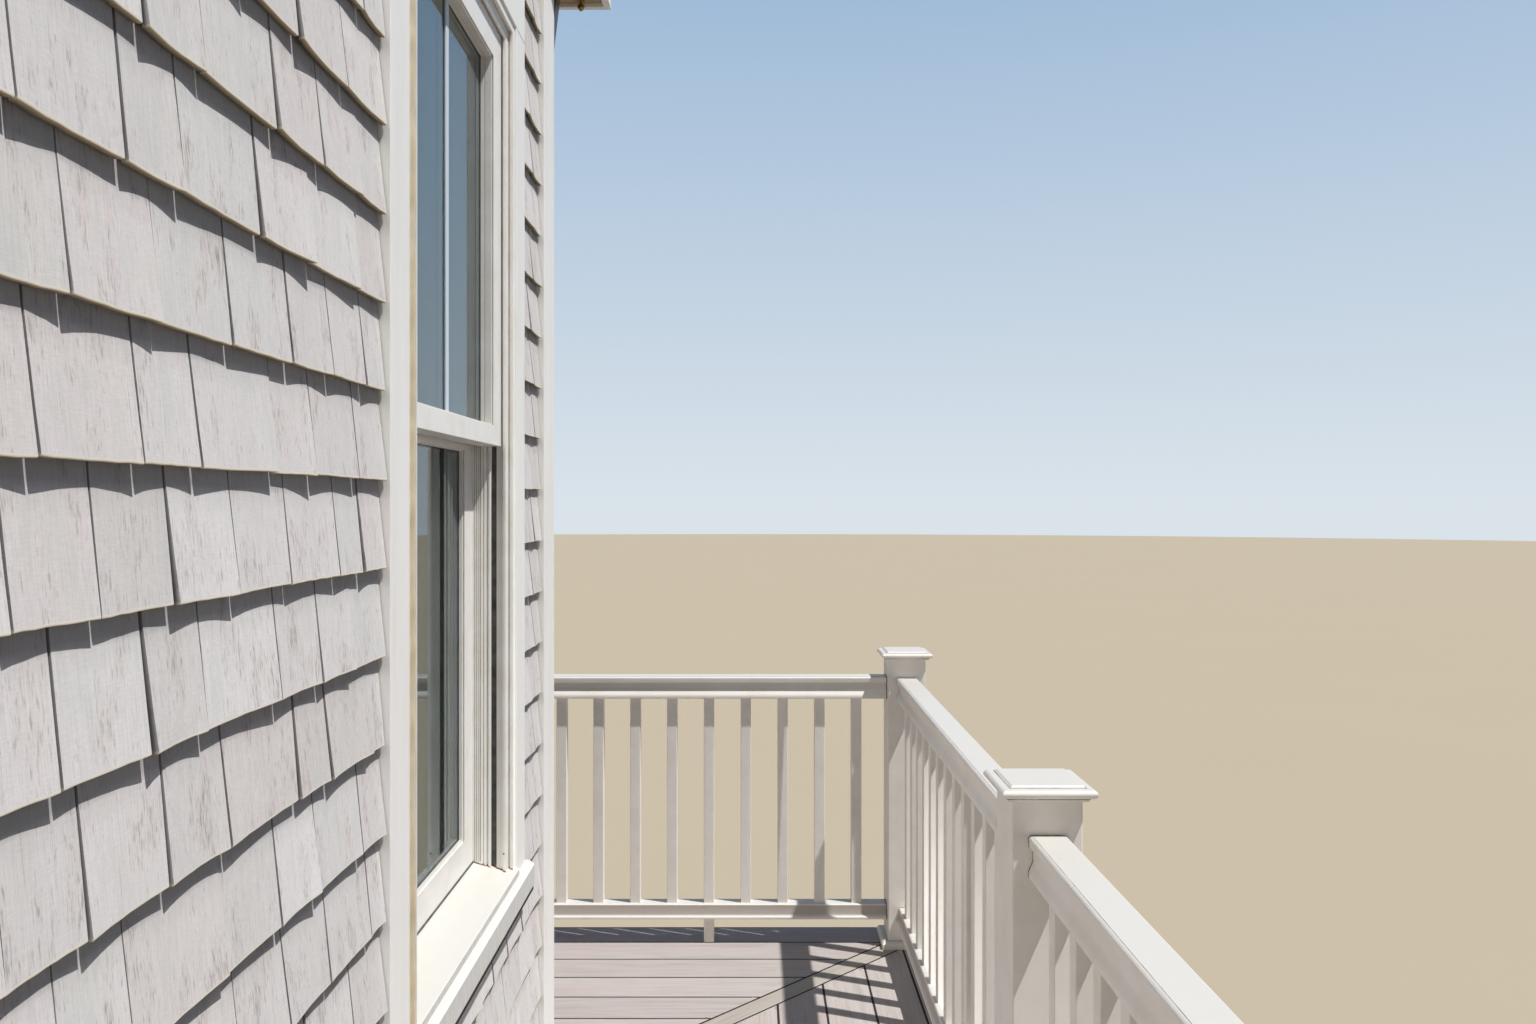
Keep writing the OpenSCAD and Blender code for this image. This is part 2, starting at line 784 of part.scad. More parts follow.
// Bottom rail: lip and a body with eased upper edges
module low_rail_section() {
    body = rail_w / 2 - rail_over;
    half = concat([[rail_w / 2, 0], [rail_w / 2, lip_h], [body, lip_h + rail_over]],
        arc(body - nose_r, low_rail_h - nose_r, nose_r, 0, 90));
    polygon(both_halves(half));
}

// A panel between two posts, drawn along Y from 0
module rail_panel(span) {
    count = floor(span / baluster_pitch);
    first = (span - (count - 1) * baluster_pitch) / 2;
    low = low_rail_z + low_rail_h;
    high = rail_top - rail_h;
    translate([0, 0, high]) along_y(0, span) top_rail_section();
    translate([0, 0, low_rail_z]) along_y(0, span) low_rail_section();
    for (i = [0:count - 1])
        translate([-baluster_w / 2, first + i * baluster_pitch - baluster_w / 2, low - 1])
            cube([baluster_w, baluster_w, high - low + 2]);
}

module side_railing() {
    color("white") place() for (i = [1:2])
        translate([post_line, side_posts[i] + post_w / 2, deck_h]) rail_panel(side_span);
}

module sea_railing() {
    color("white") place() on_sea_side() {
        translate([post_line, sea_posts[1] + post_w / 2, deck_h]) rail_panel(sea_span_short);
        translate([post_line, sea_posts[2] + post_w / 2, deck_h]) rail_panel(sea_span_long);
    }
}

// A block under the middle of each panel's bottom rail
module foot_block(x, y) {
    translate([x - baluster_w / 2, y - baluster_w / 2, deck_h])
        cube([baluster_w, baluster_w, low_rail_z]);
}

module rail_foot_blocks() {
    color("white") place() {
        for (i = [1:2]) foot_block(post_line, side_posts[i] + (post_w + side_span) / 2);
        foot_block(sea_posts[1] + (post_w + sea_span_short) / 2, post_line);
        foot_block(sea_posts[2] + (post_w + sea_span_long) / 2, post_line);
    }
}

foundation();
floor_frame();
floor_boards();
window_wall();
sea_wall();
party_wall_rear();
party_wall_side();
window_wall_shingles();
sea_wall_shingles();
corner_board();
base_boards();
window_casing();
window_sill();
window_frame();
upper_sash();
lower_sash();
upper_glass();
lower_glass();
rafters();
roof_boards();
roof_shingles();
eave_soffit();
rake_soffit();
eave_fascia();
eave_return();
rake_board();
eave_gutter();
downspout();
side_deck_boards();
sea_deck_boards();
mitre_board();
deck_ledgers();
deck_rims();
deck_fascias();
deck_joists();
deck_beams();
deck_posts();
deck_footings();
rail_posts();
post_caps();
post_skirts();
side_railing();
sea_railing();
rail_foot_blocks();
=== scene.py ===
"""Dresses the corner bay of a beach house: shingled walls, hung window, deck and railing."""

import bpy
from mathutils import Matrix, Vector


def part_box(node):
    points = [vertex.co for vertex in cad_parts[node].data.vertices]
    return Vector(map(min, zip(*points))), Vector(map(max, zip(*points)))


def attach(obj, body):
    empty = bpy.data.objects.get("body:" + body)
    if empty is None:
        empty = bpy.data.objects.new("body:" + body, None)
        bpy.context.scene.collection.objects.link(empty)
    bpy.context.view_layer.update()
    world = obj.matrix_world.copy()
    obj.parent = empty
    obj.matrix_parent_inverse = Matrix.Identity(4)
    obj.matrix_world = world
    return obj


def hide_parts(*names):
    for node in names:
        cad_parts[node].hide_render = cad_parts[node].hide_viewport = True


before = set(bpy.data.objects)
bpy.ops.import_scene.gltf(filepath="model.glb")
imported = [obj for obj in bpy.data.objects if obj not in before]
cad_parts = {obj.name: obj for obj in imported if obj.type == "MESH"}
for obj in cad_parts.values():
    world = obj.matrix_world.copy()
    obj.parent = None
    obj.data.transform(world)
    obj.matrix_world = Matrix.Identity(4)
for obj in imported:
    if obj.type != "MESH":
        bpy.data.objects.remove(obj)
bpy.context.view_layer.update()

import math
import random

import bmesh
import bpy
from bpy.props import FloatProperty, FloatVectorProperty, PointerProperty
from mathutils import Matrix, Vector, noise

bl_info = {
    "name": "Beach House Corner Bay",
    "version": (1, 0, 0),
    "blender": (4, 5, 0),
    "location": "View3D > Sidebar > Beach House",
    "description": "Dresses the corner bay of a shingled beach house with its deck and railing",
    "category": "Object",
}

MM = 0.001
X, Y, Z = (Vector(axis) for axis in ((1, 0, 0), (0, 1, 0), (0, 0, 1)))
# Input numbers of a Mix node for colours
FACTOR, FIRST, SECOND = 0, 6, 7
# Settings of a Mix node that blends two colours, and of one that lays the second over the first
BLEND = {"data_type": "RGBA"}
TINT = {"data_type": "RGBA", "blend_type": "MULTIPLY", FACTOR: 1.0}
WHITE = "#FFFFFF"


def linear(code, alpha=1.0):
    """Turns an sRGB hex colour into the linear colour that Blender works in"""
    parts = [int(code[i:i + 2], 16) / 255 for i in (1, 3, 5)]
    return [c / 12.92 if c <= 0.04045 else ((c + 0.055) / 1.055) ** 2.4 for c in parts] + [alpha]


def per_mm(size):
    """Pattern scale, in repeats per metre, of a feature that is so many millimetres wide"""
    return 1000.0 / size


# Reference points, all read from the packed frame

def low(node):
    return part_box(node)[0]


def high(node):
    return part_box(node)[1]


CORNER = high("corner_board")
DECK_TOP = high("side_deck_boards").z
SHEATH = high("window_wall").x - CORNER.x


def at(x, y, z):
    """A point given from the house corner and the walking surface"""
    return Vector((CORNER.x + x, CORNER.y + y, DECK_TOP + z))


# Settings

def size_field(name, description, default):
    """A size in metres that the user may change"""
    return FloatProperty(name=name, description=description, default=default, unit="LENGTH")


def colour_field(name, description, code):
    """A colour that the user may change"""
    return FloatVectorProperty(name=name, description=description, size=4, subtype="COLOR",
                               default=linear(code))


class ShingleSettings(bpy.types.PropertyGroup):
    """Cedar shingles on both walls"""

    course: size_field("Course height", "Exposed height of one course", 0.1225)
    narrow: size_field("Narrowest shingle", "Smallest width of a shingle", 0.078)
    wide: size_field("Widest shingle", "Largest width of a shingle", 0.195)
    keyway: size_field("Keyway", "Gap between neighbouring shingles", 0.0028)
    thick: size_field("Butt thickness", "Thickness of a shingle at its lower end", 0.0075)
    cup: size_field("Cupping", "How far a weathered shingle's edges lift off the wall", 0.0026)
    uneven: size_field("Uneven butts", "How far butts stray from the course line", 0.0006)
    paint: colour_field("Paint", "Colour of the weathered paint", "#E1DEDD")
    bare: colour_field("Bare wood", "Colour where the paint has worn thin", "#8E8E8C")
    butt: colour_field("Sawn butt", "Colour of the sawn lower ends", "#B6A17D")


class TrimSettings(bpy.types.PropertyGroup):
    """Painted boards round the walls, the window and the roof edge"""

    ease: size_field("Eased edge", "Rounding of a board's edges", 0.0018)
    joint: size_field("Joint", "Seam between two boards", 0.0012)
    paint: colour_field("Paint", "Colour of the trim paint", "#F7F6F3")
    # The soffit's dark warm tan is partly paint colour and partly painted shade and warm bounced
    # light under the eave
    soffit: colour_field("Soffit paint", "Colour of the boards under the eave", "#AE9A78")


class WindowSettings(bpy.types.PropertyGroup):
    """Hung window"""

    bar_w: size_field("Grille bar", "Width of the upright bar on the upper glass", 0.018)
    bead_w: size_field("Sealant bead", "Width of the sealant beside the casing", 0.0185)
    pane_t: size_field("Pane", "Thickness of one sheet of glass", 0.004)
    vinyl: colour_field("Vinyl", "Colour of the frame and sashes", "#F3F1EC")
    sealant: colour_field("Sealant", "Colour of the aged sealant", "#E6DFCD")


class DeckSettings(bpy.types.PropertyGroup):
    """Deck boards and the frame under them"""

    ease: size_field("Board edge", "Rounding of a deck board's edges", 0.003)
    screw: size_field("Screw head", "Diameter of a deck screw's head", 0.0075)
    board: colour_field("Board", "Colour of the composite boards", "#AFA7A3")
    strip: colour_field("Mitre strip", "Colour of the strip along the mitre", "#A8A298")
    streak: colour_field("Streak", "Colour of the streaks along a board", "#7C7573")
    lumber: colour_field("Treated lumber", "Colour of the deck's frame", "#A79A70")


class RailSettings(bpy.types.PropertyGroup):
    """Railing round the deck"""

    ease: size_field("Edge", "Rounding of posts and balusters", 0.0025)
    end_gap: size_field("End gap", "Gap between a rail's end and its post", 0.002)
    vinyl: colour_field("Vinyl", "Colour of the railing", "#F5F1EA")


class RoofSettings(bpy.types.PropertyGroup):
    """Roof covering, gutter and downspout"""

    tab_w: size_field("Tab width", "Width of one roof shingle tab", 0.305)
    course: size_field("Course", "Exposed length of one roof course", 0.143)
    granules: colour_field("Granules", "Colour of the roof's mineral surface", "#6E6C6B")
    spout: colour_field("Downspout", "Colour of the baked enamel", "#57524E")


class HouseSettings(bpy.types.PropertyGroup):
    """Walls, floor and foundation"""

    plank_w: size_field("Floor plank", "Width of one inside floor plank", 0.083)
    plaster: colour_field("Plaster", "Colour of the plain walls", "#D5D2C9")
    oak: colour_field("Floor", "Colour of the varnished planks", "#A9794B")
    spruce: colour_field("Framing", "Colour of rafters and floor joists", "#D0AE7E")
    concrete: colour_field("Concrete", "Colour of foundation and footings", "#B3B0A9")


class StageSettings(bpy.types.PropertyGroup):
    """Floor, background, light and camera"""

    key: FloatProperty(name="Key light", description="Strength of the large key lamp", default=4.85)
    fill: FloatProperty(name="Fill", description="Strength of the light from all round",
                        default=0.2)
    floor: colour_field("Floor", "Colour of the pale floor", "#ABA08C")
    backdrop: colour_field("Backdrop", "Colour of the pale background", "#DAE3EA")
    upper: colour_field("Upper backdrop", "Colour of the background high up", "#7FA8D0")


SETTINGS = {"bay_shingles": ShingleSettings, "bay_trim": TrimSettings, "bay_window": WindowSettings,
            "bay_deck": DeckSettings, "bay_rail": RailSettings, "bay_roof": RoofSettings,
            "bay_house": HouseSettings, "bay_stage": StageSettings}


# Materials

def add(tree, kind, values=()):
    """Adds a node and sets its inputs, properties and colour stops. A node or an output among the
    values is linked, and a hex colour is made linear."""
    made = tree.nodes.new("ShaderNode" + kind)
    for key, value in dict(values).items():
        if isinstance(value, bpy.types.Node):
            value = next(output for output in value.outputs if output.enabled)
        if isinstance(value, bpy.types.NodeSocket):
            tree.links.new(value, made.inputs[key])
        elif key == "stops":
            ends = made.color_ramp.elements
            for end, (place, code) in ((ends[0], value[0]), (ends[1], value[-1])):
                end.position, end.color = place, linear(code)
            for place, code in value[1:-1]:
                ends.new(place).color = linear(code)
        elif isinstance(key, str) and hasattr(made, key):
            setattr(made, key, value)
        else:
            made.inputs[key].default_value = linear(value) if isinstance(value, str) else value
    return made


def finish_of(build):
    """Gives the material that is named for its recipe, made on first use"""
    known = bpy.data.materials.get(build.__name__)
    if known:
        return known
    made = bpy.data.materials.new(build.__name__)
    made.use_nodes = True
    made.node_tree.nodes.clear()
    add(made.node_tree, "OutputMaterial", {"Surface": build(made.node_tree)})
    return made


def sight_ray(tree):
    """1 for rays that show the background: straight from the eye, or by way of gloss or glass"""
    path = add(tree, "LightPath")
    seen = add(tree, "Math", {"operation": "MAXIMUM", 0: path.outputs["Is Camera Ray"],
                              1: path.outputs["Is Glossy Ray"]})
    return add(tree, "Math", {"operation": "MAXIMUM", 0: seen,
                              1: path.outputs["Is Transmission Ray"]})


def along_grain(tree, grain, sizes, **look):
    """Shared pattern of marks that follow a board, with their sizes in millimetres along the grain,
    across it and through it"""
    place = add(tree, "Mapping", {"Scale": [per_mm(size) for size in sizes], "Vector": grain})
    return add(tree, "TexNoise", {"Scale": 1.0, "Detail": 2.0, **look, "Vector": place})


def dust_and_top_shade(tree, colour, dust_and_shade, share):
    """Shared look of surfaces that face up: they dull to a greyer colour, partly settled dust and
    salt and partly painted shade that holds tops down under the strong key light
    """
    normal = add(tree, "NewGeometry").outputs["Normal"]
    facing = add(tree, "SeparateXYZ", {"Vector": normal})
    flat = add(tree, "MapRange", {"From Min": 0.45, "From Max": 0.9, "To Max": share,
                                  "Value": facing.outputs["Z"]})
    return add(tree, "Mix", {**BLEND, FACTOR: flat, FIRST: colour, SECOND: dust_and_shade})


def clouded(tree, size, detail, stops, skin, base=None, dust_and_shade=None, gloss=None, tooth=None,
            crumble=0.5):
    """Shared look of even finishes. A tint drifts in clouds so many millimetres wide, over a base
    colour and under dust and painted shade on upward faces where they are given. Gloss gives the
    roughness at both ends of the drift, and tooth the width, strength and depth in millimetres of a
    finer relief."""
    where = add(tree, "TexCoord").outputs["Object"]
    cloud = add(tree, "TexNoise", {"Scale": per_mm(size), "Detail": detail, "Roughness": crumble,
                                   "Vector": where})
    colour = add(tree, "ValToRGB", {"stops": stops, "Fac": cloud})
    if base is not None:
        colour = add(tree, "Mix", {**TINT, FIRST: base, SECOND: colour})
    if dust_and_shade:
        colour = dust_and_top_shade(tree, colour, *dust_and_shade)
    made = {**skin, "Base Color": colour}
    if gloss:
        made["Roughness"] = add(tree, "MapRange", {"To Min": gloss[0], "To Max": gloss[1],
                                                   "Value": cloud})
    if tooth:
        relief = add(tree, "TexNoise", {"Scale": per_mm(tooth[0]), "Detail": 2.0, "Vector": where})
        made["Normal"] = add(tree, "Bump", {"Strength": tooth[1], "Distance": tooth[2] * MM,
                                            "Height": relief})
    return add(tree, "BsdfPrincipled", made)


def weathered_painted_cedar(tree):
    """Old chalky paint on sawn cedar: the eye sees fine upright fibres, short grey flecks where the
    paint is thin, a barely pink or green cast, sawn lower ends under a paler rim, and no gloss.
    Dirt and painted shade darken the gaps, the backs and the strip under each butt."""
    s = bpy.context.scene.bay_shingles
    grain = add(tree, "Attribute", {"attribute_name": "grain"}).outputs["Vector"]
    tone, edge, soiled = (add(tree, "Attribute", {"attribute_name": name}).outputs["Fac"]
                          for name in ("tone", "butt", "soiled"))
    # Fibres 1.8 mm apart and 60 mm long
    fibre = along_grain(tree, grain, (60, 1.8, 6), Detail=4.0, Roughness=0.65)
    # Crazing of the paint across the grain, 1.5 mm apart and 9 mm long
    craze = along_grain(tree, grain, (1.5, 9, 20))
    # Worn flecks 2.5 mm wide and 14 mm long, thickest in patches 30 mm wide and 80 mm long
    fleck = along_grain(tree, grain, (14, 2.5, 20))
    patch = along_grain(tree, grain, (80, 30, 60))
    wear = add(tree, "Math", {"operation": "MULTIPLY_ADD", 0: patch, 1: 0.7, 2: fleck})
    worn = add(tree, "MapRange", {"From Min": 0.95, "From Max": 1.22, "To Max": 0.85,
                                  "Value": wear})
    # Checks are thin dark splits 0.8 mm wide, drawn 1.4 mm wide so that they show
    check = along_grain(tree, grain, (70, 1.4, 40), Detail=1.0)
    split = add(tree, "MapRange", {"From Min": 0.7, "From Max": 0.78, "To Max": 0.4,
                                   "Value": check})
    # A cast for each shingle, and a blush that drifts over it
    cast = add(tree, "ValToRGB", {"Fac": tone, "stops": [
        (0.0, "#F7F3F2"), (0.35, WHITE), (0.6, "#F4F3F2"), (0.8, "#F8F9F8"), (1.0, "#EFECEA")]})
    blush = add(tree, "ValToRGB", {"Fac": patch, "stops": [
        (0.34, "#F8FAF8"), (0.5, WHITE), (0.66, "#FBF7F5")]})
    tinted = add(tree, "Mix", {**TINT, FIRST: s.paint, SECOND: cast})
    blushed = add(tree, "Mix", {**TINT, FACTOR: 0.8, FIRST: tinted, SECOND: blush})
    woven = add(tree, "Math", {"operation": "MULTIPLY_ADD", 0: craze, 1: 0.5, 2: fibre})
    faint = add(tree, "MapRange", {"From Min": 0.5, "From Max": 1.0, "To Min": 0.86, "To Max": 1.06,
                                   "Value": woven})
    fibrous = add(tree, "Mix", {**TINT, FIRST: blushed, SECOND: faint})
    aged = add(tree, "Mix", {**BLEND, FACTOR: worn, FIRST: fibrous, SECOND: s.bare})
    checked = add(tree, "Mix", {**BLEND, FACTOR: split, FIRST: aged, SECOND: "#77706B"})
    # The paint ends in a cream rim above the sawn wood of the butt. The rim is paler than the
    # paint: partly built-up paint, partly a painted highlight on the rounded lower edge
    rim = add(tree, "MapRange", {"From Max": 0.4, "Value": edge})
    sawn = add(tree, "MapRange", {"From Min": 0.5, "From Max": 0.9, "Value": edge})
    cream = add(tree, "Mix", {**BLEND, FACTOR: sawn, FIRST: "#F3ECDC", SECOND: s.butt})
    ended = add(tree, "Mix", {**BLEND, FACTOR: rim, FIRST: checked, SECOND: cream})
    # Dirt and painted shade: the strip under each butt, the backs, and the covered parts that show
    # in the gaps darken towards a cool grey
    darkening = add(tree, "MapRange", {"From Max": 0.7, "To Max": 0.76, "Value": soiled})
    colour = add(tree, "Mix", {**BLEND, FACTOR: darkening, FIRST: ended, SECOND: "#555659"})
    bump = add(tree, "Bump", {"Strength": 0.45, "Distance": 0.45 * MM, "Height": fibre})
    return add(tree, "BsdfPrincipled", {"Roughness": 0.82, "IOR": 1.46, "Base Color": colour,
                                        "Normal": bump})


def building_felt(tree):
    """Black saturated felt behind the shingles: a dull dark fibre that only shows in the gaps."""
    return clouded(tree, 6, 3.0, [(0.3, "#35312D"), (0.7, "#544D46")], {"Roughness": 0.9})


def satin_painted_pine(tree):
    """Brushed satin paint on planed pine: fine brush lines along the board, faint grey weathering
    in long runs, and a soft broad sheen."""
    s = bpy.context.scene.bay_trim
    grain = add(tree, "Attribute", {"attribute_name": "grain"}).outputs["Vector"]
    tone = add(tree, "Attribute", {"attribute_name": "tone"}).outputs["Fac"]
    # Brush lines 1.8 mm apart and 250 mm long, grime patches 55 mm wide and 400 mm long
    brush = along_grain(tree, grain, (250, 1.8, 4), Detail=3.0, Roughness=0.6)
    grime = along_grain(tree, grain, (400, 55, 60), Detail=4.0, Roughness=0.65)
    dull = add(tree, "ValToRGB", {"Fac": grime, "stops": [
        (0.4, WHITE), (0.64, "#FAF9F7"), (0.82, "#EEECE8")]})
    shade = add(tree, "MapRange", {"To Min": 0.98, "To Max": 1.0, "Value": tone})
    toned = add(tree, "Mix", {**TINT, FIRST: s.paint, SECOND: dull})
    colour = add(tree, "Mix", {**TINT, FIRST: toned, SECOND: shade})
    rough = add(tree, "MapRange", {"To Min": 0.42, "To Max": 0.6, "Value": grime})
    # Upward faces grey off: dust, and painted shade on the tops
    dusted_and_shaded = dust_and_top_shade(tree, colour, "#C8C5BE", 0.9)
    bump = add(tree, "Bump", {"Strength": 0.3, "Distance": 0.2 * MM, "Height": brush})
    return add(tree, "BsdfPrincipled", {"IOR": 1.48, "Base Color": dusted_and_shaded, "Roughness": rough,
                                        "Normal": bump})


def painted_soffit_board(tree):
    """Tan satin paint on the boards under the eave: flat, a little dusty, slow tone changes. Its
    dark warm tan is partly the paint and partly painted shade and warm bounced light under the
    eave.
    """
    return clouded(tree, 140, 4.0, [(0.3, WHITE), (0.75, "#DDD6CA")],
                   {"Roughness": 0.55, "IOR": 1.48}, bpy.context.scene.bay_trim.soffit,
                   tooth=(3, 0.3, 0.2))


def extruded_window_vinyl(tree):
    """White vinyl extrusion: even and smooth, a warm soft gloss, thin dust and painted shade on the
    upward faces.
    """
    return clouded(tree, 60, 4.0, [(0.4, WHITE), (0.8, "#F4F2ED")], {"IOR": 1.53},
                   bpy.context.scene.bay_window.vinyl, dust_and_shade=("#C4C1BA", 0.9), gloss=(0.3, 0.44),
                   tooth=(2.5, 0.12, 0.1))


def extruded_rail_vinyl(tree):
    """Satin white vinyl railing: faint draw lines along each part, soft sheen, slight salt haze."""
    s = bpy.context.scene.bay_rail
    grain = add(tree, "Attribute", {"attribute_name": "grain"}).outputs["Vector"]
    soiled = add(tree, "Attribute", {"attribute_name": "soiled"}).outputs["Fac"]
    # Draw lines 3 mm apart and half a metre long
    draw = along_grain(tree, grain, (500, 3, 3))
    haze = add(tree, "TexNoise", {"Scale": per_mm(90), "Detail": 4.0, "Roughness": 0.6,
                                  "Vector": grain})
    veil = add(tree, "ValToRGB", {"Fac": haze, "stops": [
        (0.4, WHITE), (0.62, "#FAF9F6"), (0.82, "#F1EEE9")]})
    colour = add(tree, "Mix", {**TINT, FIRST: s.vinyl, SECOND: veil})
    rough = add(tree, "MapRange", {"To Min": 0.34, "To Max": 0.52, "Value": haze})
    # Upward faces grey off: dust, and painted shade on the tops
    dusted_and_shaded = dust_and_top_shade(tree, colour, "#C2BFB9", 0.92)
    # Painted shade: the marked faces of the bottom rail's body and the far top rail's stem darken
    # to a brownish grey
    shade_share = add(tree, "MapRange", {"To Max": 0.9, "Value": soiled})
    with_painted_shade = add(tree, "Mix", {**BLEND, FACTOR: shade_share, FIRST: dusted_and_shaded, SECOND: "#B3ABA2"})
    bump = add(tree, "Bump", {"Strength": 0.15, "Distance": 0.15 * MM, "Height": draw})
    return add(tree, "BsdfPrincipled", {"IOR": 1.53, "Base Color": with_painted_shade, "Roughness": rough,
                                        "Normal": bump})


def painted_grille_aluminium(tree):
    """Roll-formed aluminium bar under white paint: even, low gloss, faint long draw lines. Its cool
    blue-white is painted reflection: it stands for the glass and the sky reflected in it, which lie
    over the real bar.
    """
    grain = add(tree, "Attribute", {"attribute_name": "grain"}).outputs["Vector"]
    draw = along_grain(tree, grain, (300, 2, 2))
    tint = add(tree, "ValToRGB", {"Fac": draw, "stops": [(0.3, "#C9D6E2"), (0.7, "#DDE6EE")]})
    return add(tree, "BsdfPrincipled", {"Roughness": 0.4, "IOR": 1.5, "Base Color": tint})


def coated_float_glass(tree):
    """Float glass with a low-emission coating: clear and flat, with a cool blue reflection."""
    where = add(tree, "TexCoord").outputs["Object"]
    film = add(tree, "TexNoise", {"Scale": per_mm(180), "Detail": 3.0, "Vector": where})
    rough = add(tree, "MapRange", {"From Min": 0.4, "From Max": 0.8, "To Min": 0.0, "To Max": 0.03,
                                   "Value": film})
    return add(tree, "BsdfPrincipled", {"Base Color": "#B2C6C7", "IOR": 1.52, "Roughness": rough,
                                        "Transmission Weight": 1.0, "Specular Tint": "#CFE0F4"})


def glazing_rubber(tree):
    """Black rubber gasket round the glass: matte, with a slight bloom."""
    return clouded(tree, 25, 3.0, [(0.3, "#3A3936"), (0.75, "#625F5B")],
                   {"Roughness": 0.7, "IOR": 1.5})


def aged_sealant(tree):
    """Tooled sealant gone cream: lumpy, matte, with brown dirt held along its middle."""
    s = bpy.context.scene.bay_window
    where = add(tree, "TexCoord").outputs["Object"]
    stain = add(tree, "TexNoise", {"Scale": per_mm(45), "Detail": 5.0, "Roughness": 0.7,
                                   "Vector": where})
    core = add(tree, "Attribute", {"attribute_name": "core"}).outputs["Fac"]
    veil = add(tree, "ValToRGB", {"Fac": stain, "stops": [
        (0.3, WHITE), (0.55, "#F4EFE3"), (0.75, "#DCCFB4")]})
    even = add(tree, "Mix", {**TINT, FIRST: s.sealant, SECOND: veil})
    colour = add(tree, "Mix", {**BLEND, FACTOR: core, FIRST: even, SECOND: "#BDAB8B"})
    bump = add(tree, "Bump", {"Strength": 0.4, "Distance": 0.5 * MM, "Height": stain})
    return add(tree, "BsdfPrincipled", {"Roughness": 0.6, "IOR": 1.43, "Base Color": colour,
                                        "Normal": bump})


def packed_dust(tree):
    """Wet dust dried in a corner: brown, matte, broken into clots along its run. Under the cap
    slabs and between rail ends and posts it is partly painted shade.
    """
    return clouded(tree, 9, 4.0, [(0.42, "#5A4834"), (0.56, "#8C7759"), (0.76, "#CFC2AB")],
                   {"Roughness": 0.9, "IOR": 1.45}, crumble=0.7)


def dark_shade_and_dirt(tree):
    """Almost black, matte and crumbly, between boards and under the sill: partly rotted leaf and
    sand, partly painted shade of the deep gaps.
    """
    return clouded(tree, 7, 3.0, [(0.35, "#1B1916"), (0.75, "#38332C")],
                   {"Roughness": 0.95, "IOR": 1.4})


def grey_front_film(tree):
    """Thin dull grey film on upright painted edges: cloudy, with faint upright streaks, darker than
    the paint around it.
    """
    where = add(tree, "TexCoord").outputs["Object"]
    # Upright streaks 9 mm wide and 60 mm tall
    runs = along_grain(tree, where, (9, 9, 60), Detail=3.0)
    tint = add(tree, "ValToRGB", {"Fac": runs, "stops": [(0.35, "#CBC9C5"), (0.7, "#DAD8D4")]})
    return add(tree, "BsdfPrincipled", {"Roughness": 0.75, "IOR": 1.45, "Base Color": tint})


def groove_shade_grey(tree):
    """Grey matte line that stands for the shade in a narrow groove or under an edge: painted shade,
    lighter in places along its run.
    """
    return clouded(tree, 28, 4.0, [(0.35, "#625E5A"), (0.7, "#9F9A94")],
                   {"Roughness": 0.9, "IOR": 1.45}, crumble=0.65)


def embossed_composite(tree, colour):
    """Shared look of the moulded composite boards: fine embossed streaks, wear and tone changes"""
    s = bpy.context.scene.bay_deck
    grain = add(tree, "Attribute", {"attribute_name": "grain"}).outputs["Vector"]
    tone = add(tree, "Attribute", {"attribute_name": "tone"}).outputs["Fac"]
    # Embossed streaks 3.2 mm wide and 160 mm long over blotches 38 mm wide and 500 mm long
    streak = along_grain(tree, grain, (160, 3.2, 5), Detail=4.0, Roughness=0.6)
    blotch = along_grain(tree, grain, (500, 38, 40), Detail=3.0)
    share = add(tree, "MapRange", {"From Min": 0.48, "From Max": 0.78, "To Max": 0.65,
                                   "Value": streak})
    streaked = add(tree, "Mix", {**BLEND, FACTOR: share, FIRST: colour, SECOND: s.streak})
    hue = add(tree, "ValToRGB", {"Fac": blotch, "stops": [
        (0.3, "#FBF3F1"), (0.5, WHITE), (0.72, "#EFEFEC")]})
    mottled = add(tree, "Mix", {**TINT, FIRST: streaked, SECOND: hue})
    shade = add(tree, "MapRange", {"To Min": 0.93, "To Max": 1.02, "Value": tone})
    shaded = add(tree, "Mix", {**TINT, FIRST: mottled, SECOND: shade})
    bump = add(tree, "Bump", {"Strength": 0.6, "Distance": 0.5 * MM, "Height": streak})
    return add(tree, "BsdfPrincipled", {"Roughness": 0.68, "IOR": 1.49, "Base Color": shaded,
                                        "Normal": bump})


def embossed_wood_composite(tree):
    """Moulded wood and plastic board: a pinkish grey with fine embossed streaks along the board."""
    return embossed_composite(tree, bpy.context.scene.bay_deck.board)


def sanded_wood_composite(tree):
    """The same board ripped narrow for the mitre: its tan core shows through the sanded face."""
    return embossed_composite(tree, bpy.context.scene.bay_deck.strip)


def sawn_wood(tree, colour, dark, rough):
    """Shared look of sawn softwood: long growth rings, darker late wood and saw fuzz"""
    grain = add(tree, "Attribute", {"attribute_name": "grain"}).outputs["Vector"]
    tone = add(tree, "Attribute", {"attribute_name": "tone"}).outputs["Fac"]
    # Growth rings 9 mm apart that run the length of the piece, saw fuzz 1.5 mm wide
    ring = along_grain(tree, grain, (900, 9, 14), Distortion=0.6)
    fuzz = along_grain(tree, grain, (40, 1.5, 1.5))
    band = add(tree, "MapRange", {"From Min": 0.42, "From Max": 0.68, "Value": ring})
    figured = add(tree, "Mix", {**BLEND, FACTOR: band, FIRST: colour, SECOND: dark})
    shade = add(tree, "MapRange", {"To Min": 0.84, "To Max": 1.06, "Value": tone})
    toned = add(tree, "Mix", {**TINT, FIRST: figured, SECOND: shade})
    bump = add(tree, "Bump", {"Strength": 0.4, "Distance": 0.4 * MM, "Height": fuzz})
    return add(tree, "BsdfPrincipled", {"Roughness": rough, "IOR": 1.5, "Base Color": toned,
                                        "Normal": bump})


